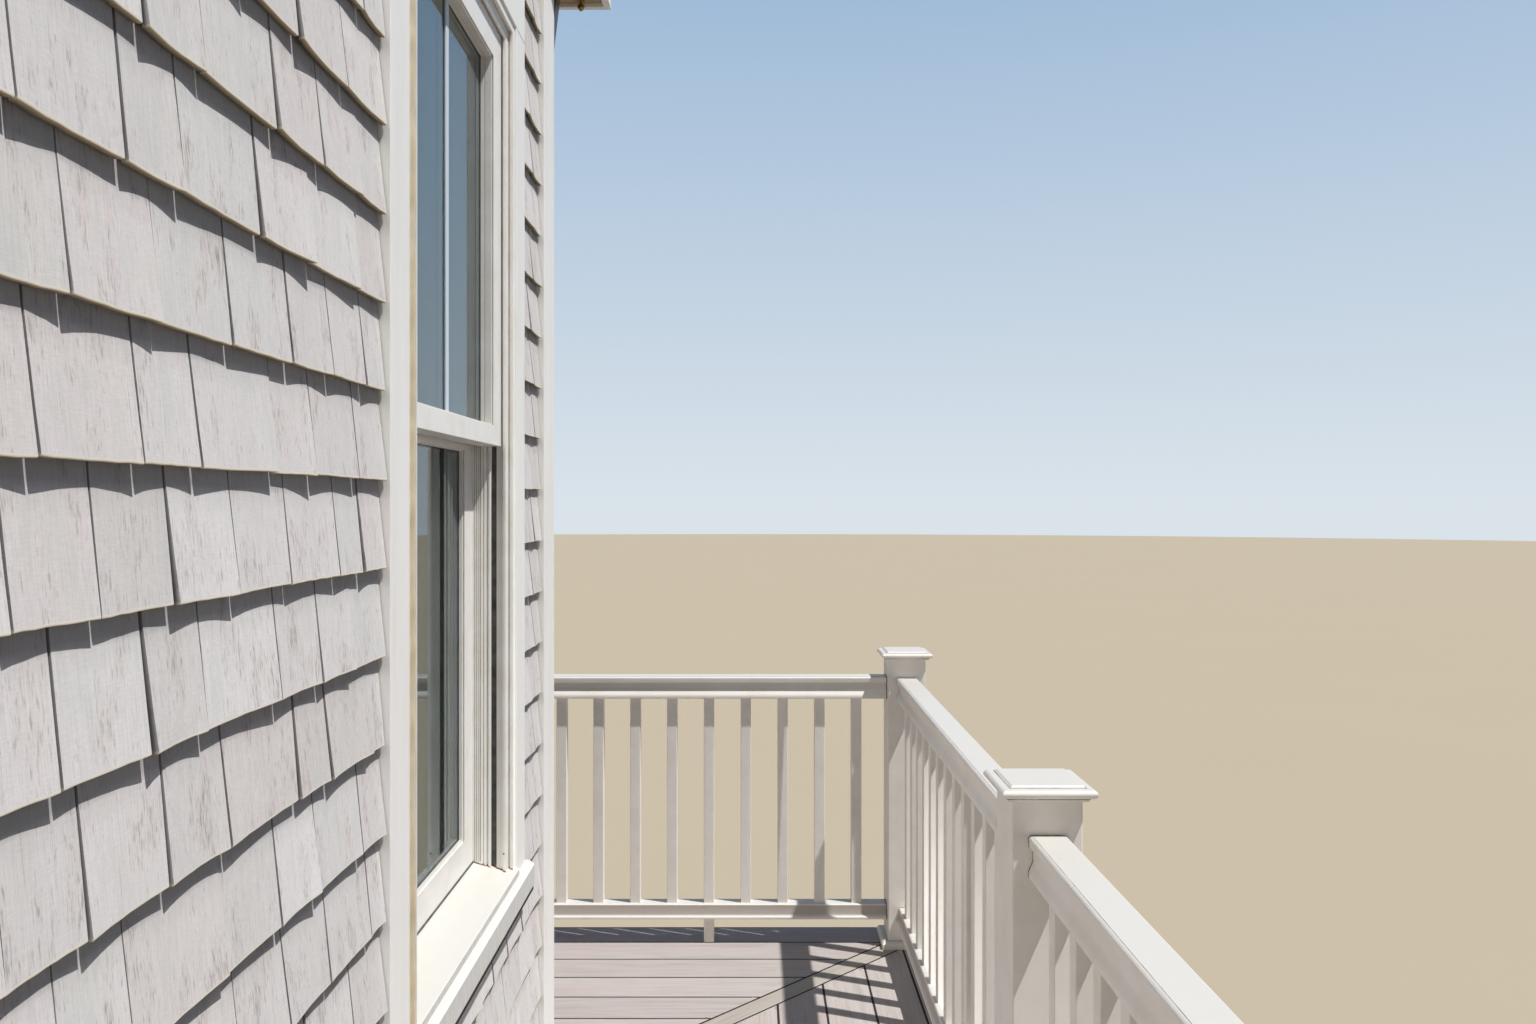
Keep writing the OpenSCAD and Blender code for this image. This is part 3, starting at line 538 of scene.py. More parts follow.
def pressure_treated_pine(tree):
    """Rough sawn pine with a copper treatment: olive cast, dark growth rings, dry surface."""
    return sawn_wood(tree, bpy.context.scene.bay_deck.lumber, "#7B6C47", 0.8)


def sawn_framing_spruce(tree):
    """Planed spruce framing: pale straw colour with soft tan rings."""
    return sawn_wood(tree, bpy.context.scene.bay_house.spruce, "#AE8553", 0.7)


def varnished_oak_plank(tree):
    """Oak planks under satin varnish: warm brown, dark rings, a clear soft reflection."""
    return sawn_wood(tree, bpy.context.scene.bay_house.oak, "#6F4726", 0.32)


def cast_concrete(tree):
    """Concrete poured against boards: cloudy greys, small pits, faint level lift lines."""
    s = bpy.context.scene.bay_house
    where = add(tree, "TexCoord").outputs["Object"]
    cloud = add(tree, "TexNoise", {"Scale": per_mm(220), "Detail": 6.0, "Roughness": 0.65,
                                   "Vector": where})
    pits = add(tree, "TexVoronoi", {"Scale": per_mm(22), "Vector": where})
    pit = add(tree, "MapRange", {"From Min": 0.05, "From Max": 0.2, "Value": pits})
    # Lifts 190 mm high that run level all round
    lift = along_grain(tree, where, (50000, 50000, 190), Detail=1.0)
    mottle = add(tree, "ValToRGB", {"Fac": cloud, "stops": [
        (0.3, "#D9D6D0"), (0.5, WHITE), (0.7, "#E6DFD3")]})
    band = add(tree, "MapRange", {"From Min": 0.4, "From Max": 0.6, "To Min": 0.88, "To Max": 1.0,
                                  "Value": lift})
    clouds = add(tree, "Mix", {**TINT, FIRST: s.concrete, SECOND: mottle})
    colour = add(tree, "Mix", {**TINT, FIRST: clouds, SECOND: band})
    bump = add(tree, "Bump", {"Strength": 0.5, "Distance": 1.5 * MM, "Height": pit})
    return add(tree, "BsdfPrincipled", {"Roughness": 0.88, "IOR": 1.5, "Base Color": colour,
                                        "Normal": bump})


def rolled_plaster_paint(tree):
    """Flat wall paint on plaster: a fine roller stipple and barely visible cloudy tone. The stipple
    is drawn 4 mm wide, twice as coarse as the real one, so that it shows."""
    return clouded(tree, 500, 4.0, [(0.3, "#F3F1EC"), (0.7, WHITE)],
                   {"Roughness": 0.85, "IOR": 1.45}, bpy.context.scene.bay_house.plaster,
                   tooth=(4, 0.35, 0.5))


def mineral_asphalt_shingle(tree):
    """Asphalt roof tabs with mineral granules: dark speckle, dull, each tab a shade of its own."""
    s = bpy.context.scene.bay_roof
    where = add(tree, "TexCoord").outputs["Object"]
    tone = add(tree, "Attribute", {"attribute_name": "tone"}).outputs["Fac"]
    # Granules are about 1.5 mm; drawn 3 mm wide so that they show
    granule = add(tree, "TexVoronoi", {"Scale": per_mm(3), "Vector": where})
    speck = add(tree, "ValToRGB", {"Fac": granule.outputs["Color"], "stops": [
        (0.0, "#6B6661"), (0.5, "#B9B4AE"), (1.0, WHITE)]})
    specked = add(tree, "Mix", {**TINT, FIRST: s.granules, SECOND: speck})
    shade = add(tree, "MapRange", {"To Min": 0.65, "To Max": 1.1, "Value": tone})
    colour = add(tree, "Mix", {**TINT, FIRST: specked, SECOND: shade})
    bump = add(tree, "Bump", {"Strength": 0.6, "Distance": 1.0 * MM, "Height": granule})
    return add(tree, "BsdfPrincipled", {"Roughness": 0.9, "IOR": 1.5, "Base Color": colour,
                                        "Normal": bump})


def mill_aluminium_sheet(tree):
    """Bare rolled aluminium gone dull outdoors: soft grey reflection with cloudy oxide."""
    return clouded(tree, 35, 5.0, [(0.3, "#CED0D2"), (0.7, "#B2B4B6")], {"Metallic": 1.0},
                   gloss=(0.3, 0.6))


def baked_enamel_aluminium(tree):
    """Bronze-grey enamel baked on sheet: even, a clear but soft gloss, thin chalking."""
    return clouded(tree, 70, 5.0, [(0.35, "#DADADA"), (0.75, WHITE)], {"IOR": 1.5},
                   bpy.context.scene.bay_roof.spout, gloss=(0.3, 0.5))


def coated_steel_screw(tree):
    """Coated deck screw: grey-brown, dull, with a little bare steel in the recess."""
    return clouded(tree, 2, 3.0, [(0.4, "#6B625B"), (0.75, "#9A958F")],
                   {"Metallic": 0.6, "Roughness": 0.5})


def aged_brass(tree):
    """Cast brass left outdoors: brown tarnish with yellow metal where it is rubbed."""
    return clouded(tree, 6, 4.0, [(0.4, "#5E5236"), (0.7, "#A8935F")], {"Metallic": 1.0},
                   gloss=(0.55, 0.3))


def hot_dipped_steel(tree):
    """Hot dipped zinc on steel: flat grey crystals 12 mm wide, soft reflection."""
    where = add(tree, "TexCoord").outputs["Object"]
    crystal = add(tree, "TexVoronoi", {"Scale": per_mm(12), "Vector": where})
    tint = add(tree, "ValToRGB", {"Fac": crystal.outputs["Color"], "stops": [
        (0.2, "#A3A6A8"), (0.8, "#C9CCCE")]})
    rough = add(tree, "MapRange", {"To Min": 0.4, "To Max": 0.6, "Value": crystal})
    return add(tree, "BsdfPrincipled", {"Metallic": 1.0, "Base Color": tint, "Roughness": rough})


def pale_studio_floor(tree):
    """Seamless matte floor that keeps the object's shadow. Light that bounces off it onto the house
    is held back, so that shaded sides stay deep."""
    s = bpy.context.scene.bay_stage
    where = add(tree, "TexCoord").outputs["Object"]
    cloud = add(tree, "TexNoise", {"Scale": 0.4, "Detail": 2.0, "Vector": where})
    veil = add(tree, "MapRange", {"To Min": 0.97, "To Max": 1.0, "Value": cloud})
    colour = add(tree, "Mix", {**TINT, FIRST: s.floor, SECOND: veil})
    shown = add(tree, "Mix", {**BLEND, FACTOR: sight_ray(tree), FIRST: "#726E67", SECOND: colour})
    return add(tree, "BsdfPrincipled", {"Roughness": 0.95, "Specular IOR Level": 0.2,
                                        "Base Color": shown})


# Mesh building

def mesh_of(node):
    """Starts a piece from a packed node's faces, with its flat faces joined up again"""
    bm = bmesh.new()
    bm.from_mesh(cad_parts[node].data)
    bmesh.ops.remove_doubles(bm, verts=bm.verts, dist=1e-5)
    bmesh.ops.dissolve_limit(bm, angle_limit=math.radians(0.6), verts=bm.verts, edges=bm.edges)
    return bm


def cut(bm, point, facing):
    """Keeps the side of a plane that it faces, and closes the cut"""
    made = bmesh.ops.bisect_plane(bm, geom=bm.verts[:] + bm.edges[:] + bm.faces[:], plane_co=point,
                                  plane_no=facing, clear_inner=True, dist=1e-6)
    rim = [g for g in made["geom_cut"] if isinstance(g, bmesh.types.BMEdge)]
    bmesh.ops.holes_fill(bm, edges=rim, sides=0)
    return bm


def join(target, other):
    """Adds the faces of another unfinished piece to the first"""
    passing = bpy.data.meshes.new("passing")
    other.to_mesh(passing)
    other.free()
    target.from_mesh(passing)
    bpy.data.meshes.remove(passing)
    return target


def ease(bm, width, segments=2):
    """Rounds every outer edge that is sharper than 40 degrees"""
    sharp = [e for e in bm.edges if len(e.link_faces) == 2 and e.is_convex
             and e.calc_face_angle() > math.radians(40)]
    bmesh.ops.bevel(bm, geom=sharp, offset=width, offset_type="OFFSET", segments=segments,
                    profile=0.5, affect="EDGES", clamp_overlap=True)
    return bm


def block(bm, corner, opposite):
    """Adds a rectangular block between two opposite corners"""
    lowest, highest = (Vector([pick(pair) for pair in zip(corner, opposite)])
                       for pick in (min, max))
    place = Matrix.Translation((highest + lowest) / 2) @ Matrix.Diagonal((*(highest - lowest), 1.0))
    bmesh.ops.create_cube(bm, size=1.0, matrix=place)


def prism(bm, outline, step):
    """Adds a solid with the given outline, pushed along by a step"""
    near = [bm.verts.new(Vector(p)) for p in outline]
    far = [bm.verts.new(Vector(p) + step) for p in outline]
    bm.faces.new(near)
    bm.faces.new(far[::-1])
    for i in range(len(near)):
        j = (i + 1) % len(near)
        bm.faces.new((near[j], near[i], far[i], far[j]))
    bmesh.ops.recalc_face_normals(bm, faces=bm.faces)


def islands(bm):
    """The groups of connected vertices in a piece"""
    seen, groups = set(), []
    for start in bm.verts:
        if start in seen:
            continue
        seen.add(start)
        group, waiting = [], [start]
        while waiting:
            vert = waiting.pop()
            group.append(vert)
            for edge in vert.link_edges:
                other = edge.other_vert(vert)
                if other not in seen:
                    seen.add(other)
                    waiting.append(other)
        groups.append(group)
    return groups


def extent(group):
    """Lowest and highest corner of a group of vertices"""
    return [Vector([pick(v.co[i] for v in group) for i in range(3)]) for pick in (min, max)]


def chance_shift(rng):
    """Moves a board's pattern to a place of its own"""
    return Vector([rng.uniform(0, 9) for _ in range(3)])


def mark_grain(bm, rng):
    """Gives each board its own grain: a coordinate along its longest edge, across it and through
    it, with a chance shift, and one tone from 0 to 1"""
    grain = bm.verts.layers.float_vector.new("grain")
    tone = bm.verts.layers.float.new("tone")
    for group in islands(bm):
        # Kept in their order, so that equally long edges give the same pick each run
        edges = dict.fromkeys(e for v in group for e in v.link_edges)
        faces = dict.fromkeys(f for v in group for f in v.link_faces)
        longest = max(edges, key=lambda e: e.calc_length())
        along = (longest.verts[1].co - longest.verts[0].co).normalized()
        through = max(faces, key=lambda f: f.calc_area()).normal
        across = through.cross(along).normalized()
        shift = chance_shift(rng)
        shade = rng.random()
        for vert in group:
            vert[grain] = Vector([vert.co.dot(axis) for axis in (along, across, through)]) + shift
            vert[tone] = shade


def piece(name, bm, finishes, nodes=(), seed=1, smooth=50):
    """Turns faces into a piece of the house that stands for the named packed nodes"""
    if "grain" not in bm.verts.layers.float_vector:
        mark_grain(bm, random.Random(seed))
    mesh = bpy.data.meshes.new(name)
    bm.to_mesh(mesh)
    bm.free()
    mesh.shade_smooth()
    mesh.set_sharp_from_angle(angle=math.radians(smooth))
    made = bpy.data.objects.new(name, mesh)
    bpy.context.scene.collection.objects.link(made)
    for finish in finishes:
        mesh.materials.append(finish_of(finish))
    made.modifiers.new("Flat faces stay flat", "WEIGHTED_NORMAL").keep_sharp = True
    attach(made, "root")
    if nodes:
        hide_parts(*nodes)


def copy_of(node, name, width, finish, seed, segments=2):
    """Makes a piece in the shape of a packed node, with its outer edges rounded"""
    piece(name, ease(mesh_of(node), width, segments), [finish], [node], seed)


def bars(name, corners, finish, seed, width=0.0, nodes=(), smooth=50):
    """Makes a piece from blocks, each given by two opposite corners, with edges rounded if asked"""
    bm = bmesh.new()
    for corner, opposite in corners:
        block(bm, corner, opposite)
    if width:
        ease(bm, width)
    piece(name, bm, [finish], nodes, seed, smooth)


def dress(node, finish):
    """Gives a packed node its finish and keeps its shape"""
    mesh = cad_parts[node].data
    mesh.materials.clear()
    mesh.materials.append(finish_of(finish))


def bead_along(bm, start, end, out, side, width, rise, rng, step):
    """Adds a lumpy half-round bead that lies in the corner between two faces. The flank away from
    the side direction is marked, more so towards the bead's end, where dirt gathers."""
    core = bm.verts.layers.float.get("core") or bm.verts.layers.float.new("core")
    count = max(2, int((end - start).length / step))
    seed = Vector((rng.uniform(0, 50), rng.uniform(0, 50), 0))
    facets = 8
    rows = []
    for i in range(count + 1):
        middle = start.lerp(end, i / count)
        wobble = noise.noise(seed + Vector((0, 0, i * 0.23)))
        w, h = width * (1 + 0.2 * wobble), rise * (1 + 0.2 * wobble)
        row = [bm.verts.new(middle + side * (w / 2) * math.cos(a) + out * h * math.sin(a))
               for a in [math.pi * k / facets for k in range(facets + 1)]]
        # Shares of dirt round the flank, from the crown down
        for k, share in ((4, 0.2), (5, 0.8), (6, 1.0), (7, 0.5)):
            row[k][core] = share * (0.6 + 0.4 * i / count) * (0.85 + 0.4 * wobble)
        rows.append(row)
    for near, far in zip(rows, rows[1:]):
        for k in range(facets):
            bm.faces.new((near[k], near[k + 1], far[k + 1], far[k]))


def turned(bm, foot, axis, profile, sides=12):
    """Adds a turned solid: the profile lists heights along the axis and radii, from foot to tip"""
    spin = axis.to_track_quat("Z", "Y").to_matrix()
    rings = []
    for height, radius in profile:
        rings.append([bm.verts.new(foot + spin @ Vector((
            radius * math.cos(2 * math.pi * k / sides), radius * math.sin(2 * math.pi * k / sides),
            height))) for k in range(sides)])
    for near, far in zip(rings, rings[1:]):
        for k in range(sides):
            j = (k + 1) % sides
            bm.faces.new((near[k], near[j], far[j], far[k]))
    bm.faces.new(rings[0][::-1])
    bm.faces.new(rings[-1])


def ring_of(a, b, x0, x1, width):
    """Corners of the four blocks that line an opening from corner a to corner b"""
    return [((x0, y0, z0), (x1, y1, z1)) for y0, y1, z0, z1 in (
        (a.y, a.y + width, a.z, b.z), (b.y - width, b.y, a.z, b.z),
        (a.y + width, b.y - width, a.z, a.z + width),
        (a.y + width, b.y - width, b.z - width, b.z))]


def square_ring(middle, half, width, z0, z1):
    """Corners of the four blocks of a level square ring, from its inner half side outwards"""
    made = []
    for side in (-1, 1):
        inner, outer = side * half, side * (half + width)
        made += [((middle.x - half - width, middle.y + inner, z0),
                  (middle.x + half + width, middle.y + outer, z1)),
                 ((middle.x + inner, middle.y - half, z0), (middle.x + outer, middle.y + half, z1))]
    return made


# Wall shingles

def joints_between(start, end, before, s, rng):
    """Chance joint positions along a course that keep clear of the joints of the course below"""
    tries, clear = 12, 24 * MM
    likeliest, worth_halving = 1.5 * s.narrow, 2.2 * s.narrow
    best, best_miss = None, math.inf
    for _ in range(tries):
        row = [start]
        while end - row[-1] > s.wide:
            row.append(row[-1] + rng.triangular(s.narrow, s.wide, likeliest))
        if end - row[-1] > worth_halving:
            row.append((row[-1] + end) / 2)
        row.append(end)
        near = sum(1 for a in row[1:-1] for b in before if abs(a - b) < clear)
        if near < best_miss:
            best, best_miss = row, near
    return best


class Wall:
    """A shingled wall: u runs along it, v up and w out of its sheathing plane"""

    def __init__(self, along, out, line):
        self.along, self.out, self.line = along, out, line

    def point(self, u, v, w):
        edge = Vector((CORNER.x, CORNER.y, 0))
        return edge + self.along * u + self.out * (w + SHEATH) + Vector((0, 0, v))


def shingle(bm, layers, wall, left, right, slants, butt, head, rng, s):
    """Adds one tapered shingle, cupped so that its edges stand off the wall at the butt"""
    grain, tone, edge, soiled = layers
    # Heights of the face over the sheathing at the butt and where the next course covers it
    face_butt, face_lap = 16.8 * MM, 6 * MM
    cup = s.cup * rng.uniform(0.3, 1.5)
    twist = rng.gauss(0, 0.45) * s.cup
    tilt = rng.uniform(-1, 1) * s.uneven
    lift = rng.uniform(-1, 1) * s.uneven
    lean = rng.uniform(-0.6, 1.0) * MM
    # Rows of vertices: height over the butt, dip of the face, share of the cupping, sawn wood,
    # darkening by dirt and painted shade
    rows = [(0.0, -2.0 * MM, 1.0, 1.0, 0.0), (0.6 * MM, -0.4 * MM, 1.0, 0.62, 0.0),
            (2.0 * MM, 0.0, 1.0, 0.45, 0.0), (3.4 * MM, 0.0, 1.0, 0.0, 0.0),
            (0.3 * s.course, 0.0, 0.72, 0.0, 0.0), (0.65 * s.course, 0.0, 0.45, 0.0, 0.0),
            # The top of each exposed face, where the next course's butt throws its shadow, is
            # darkened: painted shade, with a little dirt
            (0.81 * s.course, 0.0, 0.33, 0.0, 0.1), (0.88 * s.course, 0.0, 0.26, 0.0, 0.42),
            (1.04 * s.course, 0.0, 0.2, 0.0, 0.5),
            (max(head - butt, 1.1 * s.course), 0.0, 0.0, 0.0, 1.0)]
    # The lower part of the back shows from below, behind a lifted edge
    back_rows = 4
    shift = chance_shift(rng)
    shade = rng.random()
    columns = 8
    ragged = [rng.uniform(-0.4, 0.4) * MM for _ in range(columns + 1)]
    grid, back = [], []
    for rise, dip, curl, sawn, darkening in rows:
        row, row_back = [], []
        covered = rise > 1.05 * s.course
        share = min(rise / s.course, 1.0)
        span = min(rise / s.course, 2.2)
        for k in range(columns + 1):
            t = k / columns
            u = left + slants[0] * span + (right - left + (slants[1] - slants[0]) * span) * t
            v = butt + rise
            if rise < s.course:
                v += lift + tilt * (2 * t - 1) + ragged[k] * (1 - share)
            v = min(v, wall.line(u))
            face = 1.2 * MM if covered else face_butt + (face_lap - face_butt) * share
            w = face + dip + curl * (cup * (2 * t - 1) ** 2 + twist * (2 * t - 1)
                                     + lean * (1 - share))
            under = 0.6 * MM if covered else w - dip - s.thick * (1 - 0.4 * share)
            # The back is narrower, so that a thin ray of light passes each gap
            inset = 1.4 * MM * (1 - share) * ((k == 0) - (k == columns))
            # The back and sides are darkened in full: dirt and painted shade deep in the gaps
            for height, shift_u, darkened, store in ((w, 0.0, darkening, row),
                                                  (max(under, 0.5 * MM), inset, 1.0, row_back)):
                vert = bm.verts.new(wall.point(u + shift_u, v, height))
                vert[grain] = Vector((v, u, height)) + shift
                vert[tone], vert[edge], vert[soiled] = shade, sawn, darkened
                store.append(vert)
        grid.append(row)
        back.append(row_back)
    for j in range(len(grid) - 1):
        for k in range(columns):
            bm.faces.new((grid[j][k], grid[j][k + 1], grid[j + 1][k + 1], grid[j + 1][k]))
        bm.faces.new((grid[j][-1], back[j][-1], back[j + 1][-1], grid[j + 1][-1]))
        bm.faces.new((back[j][0], grid[j][0], grid[j + 1][0], back[j + 1][0]))
    for k in range(columns):
        bm.faces.new((back[0][k], back[0][k + 1], grid[0][k + 1], grid[0][k]))
        for j in range(back_rows):
            bm.faces.new((back[j][k + 1], back[j][k], back[j + 1][k], back[j + 1][k + 1]))


def shingled_wall(name, node, wall, start, end, hole, seed):
    """Covers a wall with courses of single shingles, cut round the window if it has one"""
    s = bpy.context.scene.bay_shingles
    rng = random.Random(seed)
    bm = bmesh.new()
    layers = [bm.verts.layers.float_vector.new("grain")]
    layers += [bm.verts.layers.float.new(mark) for mark in ("tone", "butt", "soiled")]
    first, top = low(node).z, high(node).z
    before = []
    course = 0
    while first + course * s.course < top - 10 * MM:
        # Each shingle runs on under two more courses
        butt = first + course * s.course
        head = butt + 2.15 * s.course
        spans = [(start, end, butt, head)]
        if hole:
            u0, u1, v0, v1 = hole
            left, right = (start, u0, butt, head), (u1, end, butt, head)
            # Beside the window, over its head, or under its sill
            if butt + 0.2 * s.course > v0 and butt + 0.75 * s.course < v1:
                spans = [left, right]
            elif butt < v1 <= butt + 0.75 * s.course:
                spans = [left, (u0, u1, v1 + 1 * MM, head), right]
            elif head > v0 > butt:
                spans = [left, (u0, u1, butt, v0 + 8 * MM), right]
        row_joints = []
        for u0, u1, v0, head in spans:
            if v0 > max(wall.line(u0), wall.line(u1)):
                continue
            row = joints_between(u0, u1, before, s, rng)
            joints = row[1:-1]
            row_joints += joints
            slants = [0.0] + [rng.gauss(0, 1.3 * MM) for _ in joints] + [0.0]
            halves = [0.8 * MM] + [s.keyway * rng.triangular(0.4, 1.9, 0.8) / 2
                                   for _ in joints] + [0.8 * MM]
            for i in range(len(row) - 1):
                if v0 > max(wall.line(row[i]), wall.line(row[i + 1])):
                    continue
                shingle(bm, layers, wall, row[i] + halves[i], row[i + 1] - halves[i + 1],
                        (slants[i], slants[i + 1]), v0, head, rng, s)
        before = row_joints
        course += 1
    bmesh.ops.dissolve_degenerate(bm, edges=bm.edges, dist=1e-5)
    # Felt lies on the sheathing behind the gaps and leaves the window open
    felt = [(start, end, first, math.inf)]
    if hole:
        u0, u1, v0, v1 = hole
        felt = [(start, u0, first, math.inf), (u1, end, first, math.inf), (u0, u1, first, v0),
                (u0, u1, v1, math.inf)]
    for u0, u1, v0, v1 in felt:
        outline = [(u0, v0), (u1, v0), (u1, min(v1, wall.line(u1))), (u0, min(v1, wall.line(u0)))]
        face = bm.faces.new([bm.verts.new(wall.point(u, v, 0.4 * MM)) for u, v in outline])
        face.material_index = 1
    piece(name, bm, [weathered_painted_cedar, building_felt], [node], smooth=40)


class BAY_OT_wall_shingles(bpy.types.Operator):
    """Covers both walls with single weathered cedar shingles in lapped courses"""

    bl_idname = "bay.wall_shingles"
    bl_label = "Wall shingles"

    def execute(self, context):
        seam = 1.5 * MM
        casing_low, casing_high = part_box("window_casing")
        field_low, field_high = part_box("window_wall_shingles")
        rake_low, rake_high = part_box("rake_soffit")
        soffit_t = high("eave_soffit").z - low("eave_soffit").z
        pitch = (rake_high.z - rake_low.z - soffit_t) / (rake_high.y - rake_low.y)

        def rake_line(u):
            return rake_low.z + pitch * (rake_high.y - CORNER.y - u) + 6 * MM

        hole = (casing_low.y - CORNER.y - seam, casing_high.y - CORNER.y + seam,
                low("window_sill").z, casing_high.z)
        shingled_wall("window_wall_cedar", "window_wall_shingles", Wall(Y, X, rake_line),
                      field_low.y - CORNER.y, field_high.y - CORNER.y - seam, hole, 11)
        field_low, field_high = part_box("sea_wall_shingles")
        sea_wall = Wall(-X, Y, lambda u: field_high.z + 6 * MM)
        shingled_wall("sea_wall_cedar", "sea_wall_shingles", sea_wall,
                      CORNER.x - field_high.x + seam, CORNER.x - field_low.x, None, 23)
        return {"FINISHED"}


class BAY_OT_trim_boards(bpy.types.Operator):
    """Makes the painted boards at the corner, base, window and roof edge"""

    bl_idname = "bay.trim_boards"
    bl_label = "Trim boards"

    def execute(self, context):
        s = context.scene.bay_trim
        # The corner boards meet in an upright seam, and the casing's legs stop under its lintel
        self.seamed(s, "corner_board", "corner_boards", X, CORNER.x + SHEATH, (1, -1), 2)
        copy_of("base_boards", "base_trim", s.ease, satin_painted_pine, 3)
        self.seamed(s, "window_casing", "casing_boards", Z, high("window_frame").z, (-1, 1), 4)
        for node, name, share, seed in (
                ("window_sill", "sill_nosing", 1.6, 5), ("eave_fascia", "fascia_board", 1.0, 6),
                ("eave_return", "return_board", 0.6, 7), ("rake_board", "rake_trim", 1.0, 8),
                ("deck_fascias", "deck_skirt_boards", 1.0, 9)):
            copy_of(node, name, share * s.ease, satin_painted_pine, seed)
        return {"FINISHED"}

    def seamed(self, s, node, name, along, seam_at, sides, seed):
        """Makes a piece of boards with an open joint across one direction, one side at a time"""
        halves = [cut(mesh_of(node), along * (seam_at + side * s.joint / 2), along * side)
                  for side in sides]
        piece(name, ease(join(*halves), s.ease), [satin_painted_pine], [node], seed)


class BAY_OT_window(bpy.types.Operator):
    """Makes the hung window: frame, sashes, double glass, grille bar, gaskets and sealant"""

    bl_idname = "bay.window"
    bl_label = "Hung window"

    def execute(self, context):
        s = context.scene.bay_window
        rounding = 0.9 * MM
        copy_of("window_frame", "window_surround", rounding, extruded_window_vinyl,
                12)
        for name in ("upper", "lower"):
            sash, glass = name + "_sash", name + "_glass"
            copy_of(sash, name + "_sash_bars", rounding, extruded_window_vinyl, 13)
            a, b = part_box(glass)
            # The lower sash holds its outer pane forward, 12 mm behind the sash's face
            front = b.x if name == "upper" else high(sash).x - 12 * MM
            bars(name + "_panes", [((x0, a.y, a.z), (x0 + s.pane_t, b.y, b.z))
                                   for x0 in (a.x, front - s.pane_t)],
                 coated_float_glass, 14, nodes=[glass], smooth=20)
            bars(name + "_gaskets", ring_of(a, b, front - 0.5 * MM, front + 1.0 * MM, 3.0 * MM),
                 glazing_rubber, 15)
            bars(name + "_spacer", ring_of(a, b, a.x + s.pane_t, front - s.pane_t, 6.0 * MM),
                 mill_aluminium_sheet, 15)
            # Glazing beads line the recess, with a thin slot between them where it is deep
            beads = bmesh.new()
            recess = high(sash).x - front
            for x0, x1 in ((1.0 * MM, min(8.3 * MM, recess - 1.5 * MM)),
                           (9.5 * MM, recess - 3.6 * MM)):
                if x1 > x0:
                    for corner, opposite in ring_of(a, b, front + x0, front + x1, 1.6 * MM):
                        block(beads, corner, opposite)
            piece(name + "_glazing_beads", ease(beads, 0.4 * MM, 1), [extruded_window_vinyl],
                  seed=19)
        a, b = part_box("upper_glass")
        middle = (a.y + b.y) / 2
        bars("grille_bar", [((b.x, middle - s.bar_w / 2, a.z),
                             (b.x + 4 * MM, middle + s.bar_w / 2, b.z))],
             painted_grille_aluminium, 16, 1.2 * MM)
        self.seals(s, random.Random(17))
        self.fittings()
        return {"FINISHED"}

    def seals(self, s, rng):
        """Adds the sealant and the frame's outer lip beside the near jamb, the grey film on the
        sill's fronts, the dust in its corners, and a dark strip under its nosing that is painted
        shade and mildew"""
        a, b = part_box("window_frame")
        sill_low, sill_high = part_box("window_sill")
        bead = bmesh.new()
        # The bead starts on the frame's face, 4 mm behind the casing, and stands 5 mm before it
        place = Vector((CORNER.x - 4 * MM, a.y + 8 * MM, 0))
        bead_along(bead, place + Z * (b.z - 2 * MM), place + Z * (sill_high.z + 2 * MM),
                   X, Y, s.bead_w, 9 * MM, rng, 8 * MM)
        bmesh.ops.recalc_face_normals(bead, faces=bead.faces)
        piece("sealant_bead", bead, [aged_sealant], seed=18)
        # The frame's outer lip stands as high as the bead beside it
        bars("frame_lip", [((CORNER.x - 12 * MM, a.y + 17.5 * MM, sill_high.z + 15 * MM),
                            (CORNER.x + 4.8 * MM, a.y + 20 * MM, b.z - 2 * MM))],
             extruded_window_vinyl, 27, 0.6 * MM)
        # A grey film darkens the upright fronts of the sill, and a black strip under its nosing is
        # painted shade, partly mildew
        bars("sill_grey_film", [
            ((CORNER.x + 5 * MM, a.y + 1 * MM, sill_high.z + 0.3 * MM),
             (CORNER.x + 6.3 * MM, b.y - 1 * MM, sill_high.z + 13.2 * MM)),
            ((sill_high.x - 1 * MM, sill_low.y + 1.5 * MM, sill_low.z + 2 * MM),
             (sill_high.x + 0.3 * MM, sill_high.y - 1.5 * MM, sill_high.z - 10 * MM))],
            grey_front_film, 24)
        bars("sill_drip_shade_and_mildew", [((sill_high.x - 9 * MM, sill_low.y + 3 * MM, sill_low.z - 9 * MM),
                                 (sill_high.x - 1.5 * MM, sill_high.y - 3 * MM,
                                  sill_low.z + 0.5 * MM))], dark_shade_and_dirt, 25)
        # Dust lies along the inner corners of the sloped sill, in the frame's lowest 80 mm
        corners = mesh_of("window_frame")
        darkening = bmesh.new()
        for edge in corners.edges:
            start, end = (v.co for v in edge.verts)
            run = end - start
            low_down = max(start.z, end.z) < a.z + 80 * MM
            if not edge.is_convex and low_down and abs(run.x) > 0.8 * run.length > 1 * MM:
                inward = sum((f.normal for f in edge.link_faces), Vector()).normalized()
                bead_along(darkening, start, end, inward, inward.cross(run).normalized(),
                           6.5 * MM, 2.0 * MM, rng, 6 * MM)
        corners.free()
        bmesh.ops.recalc_face_normals(darkening, faces=darkening.faces)
        piece("sill_corner_dirt", darkening, [packed_dust], seed=20)

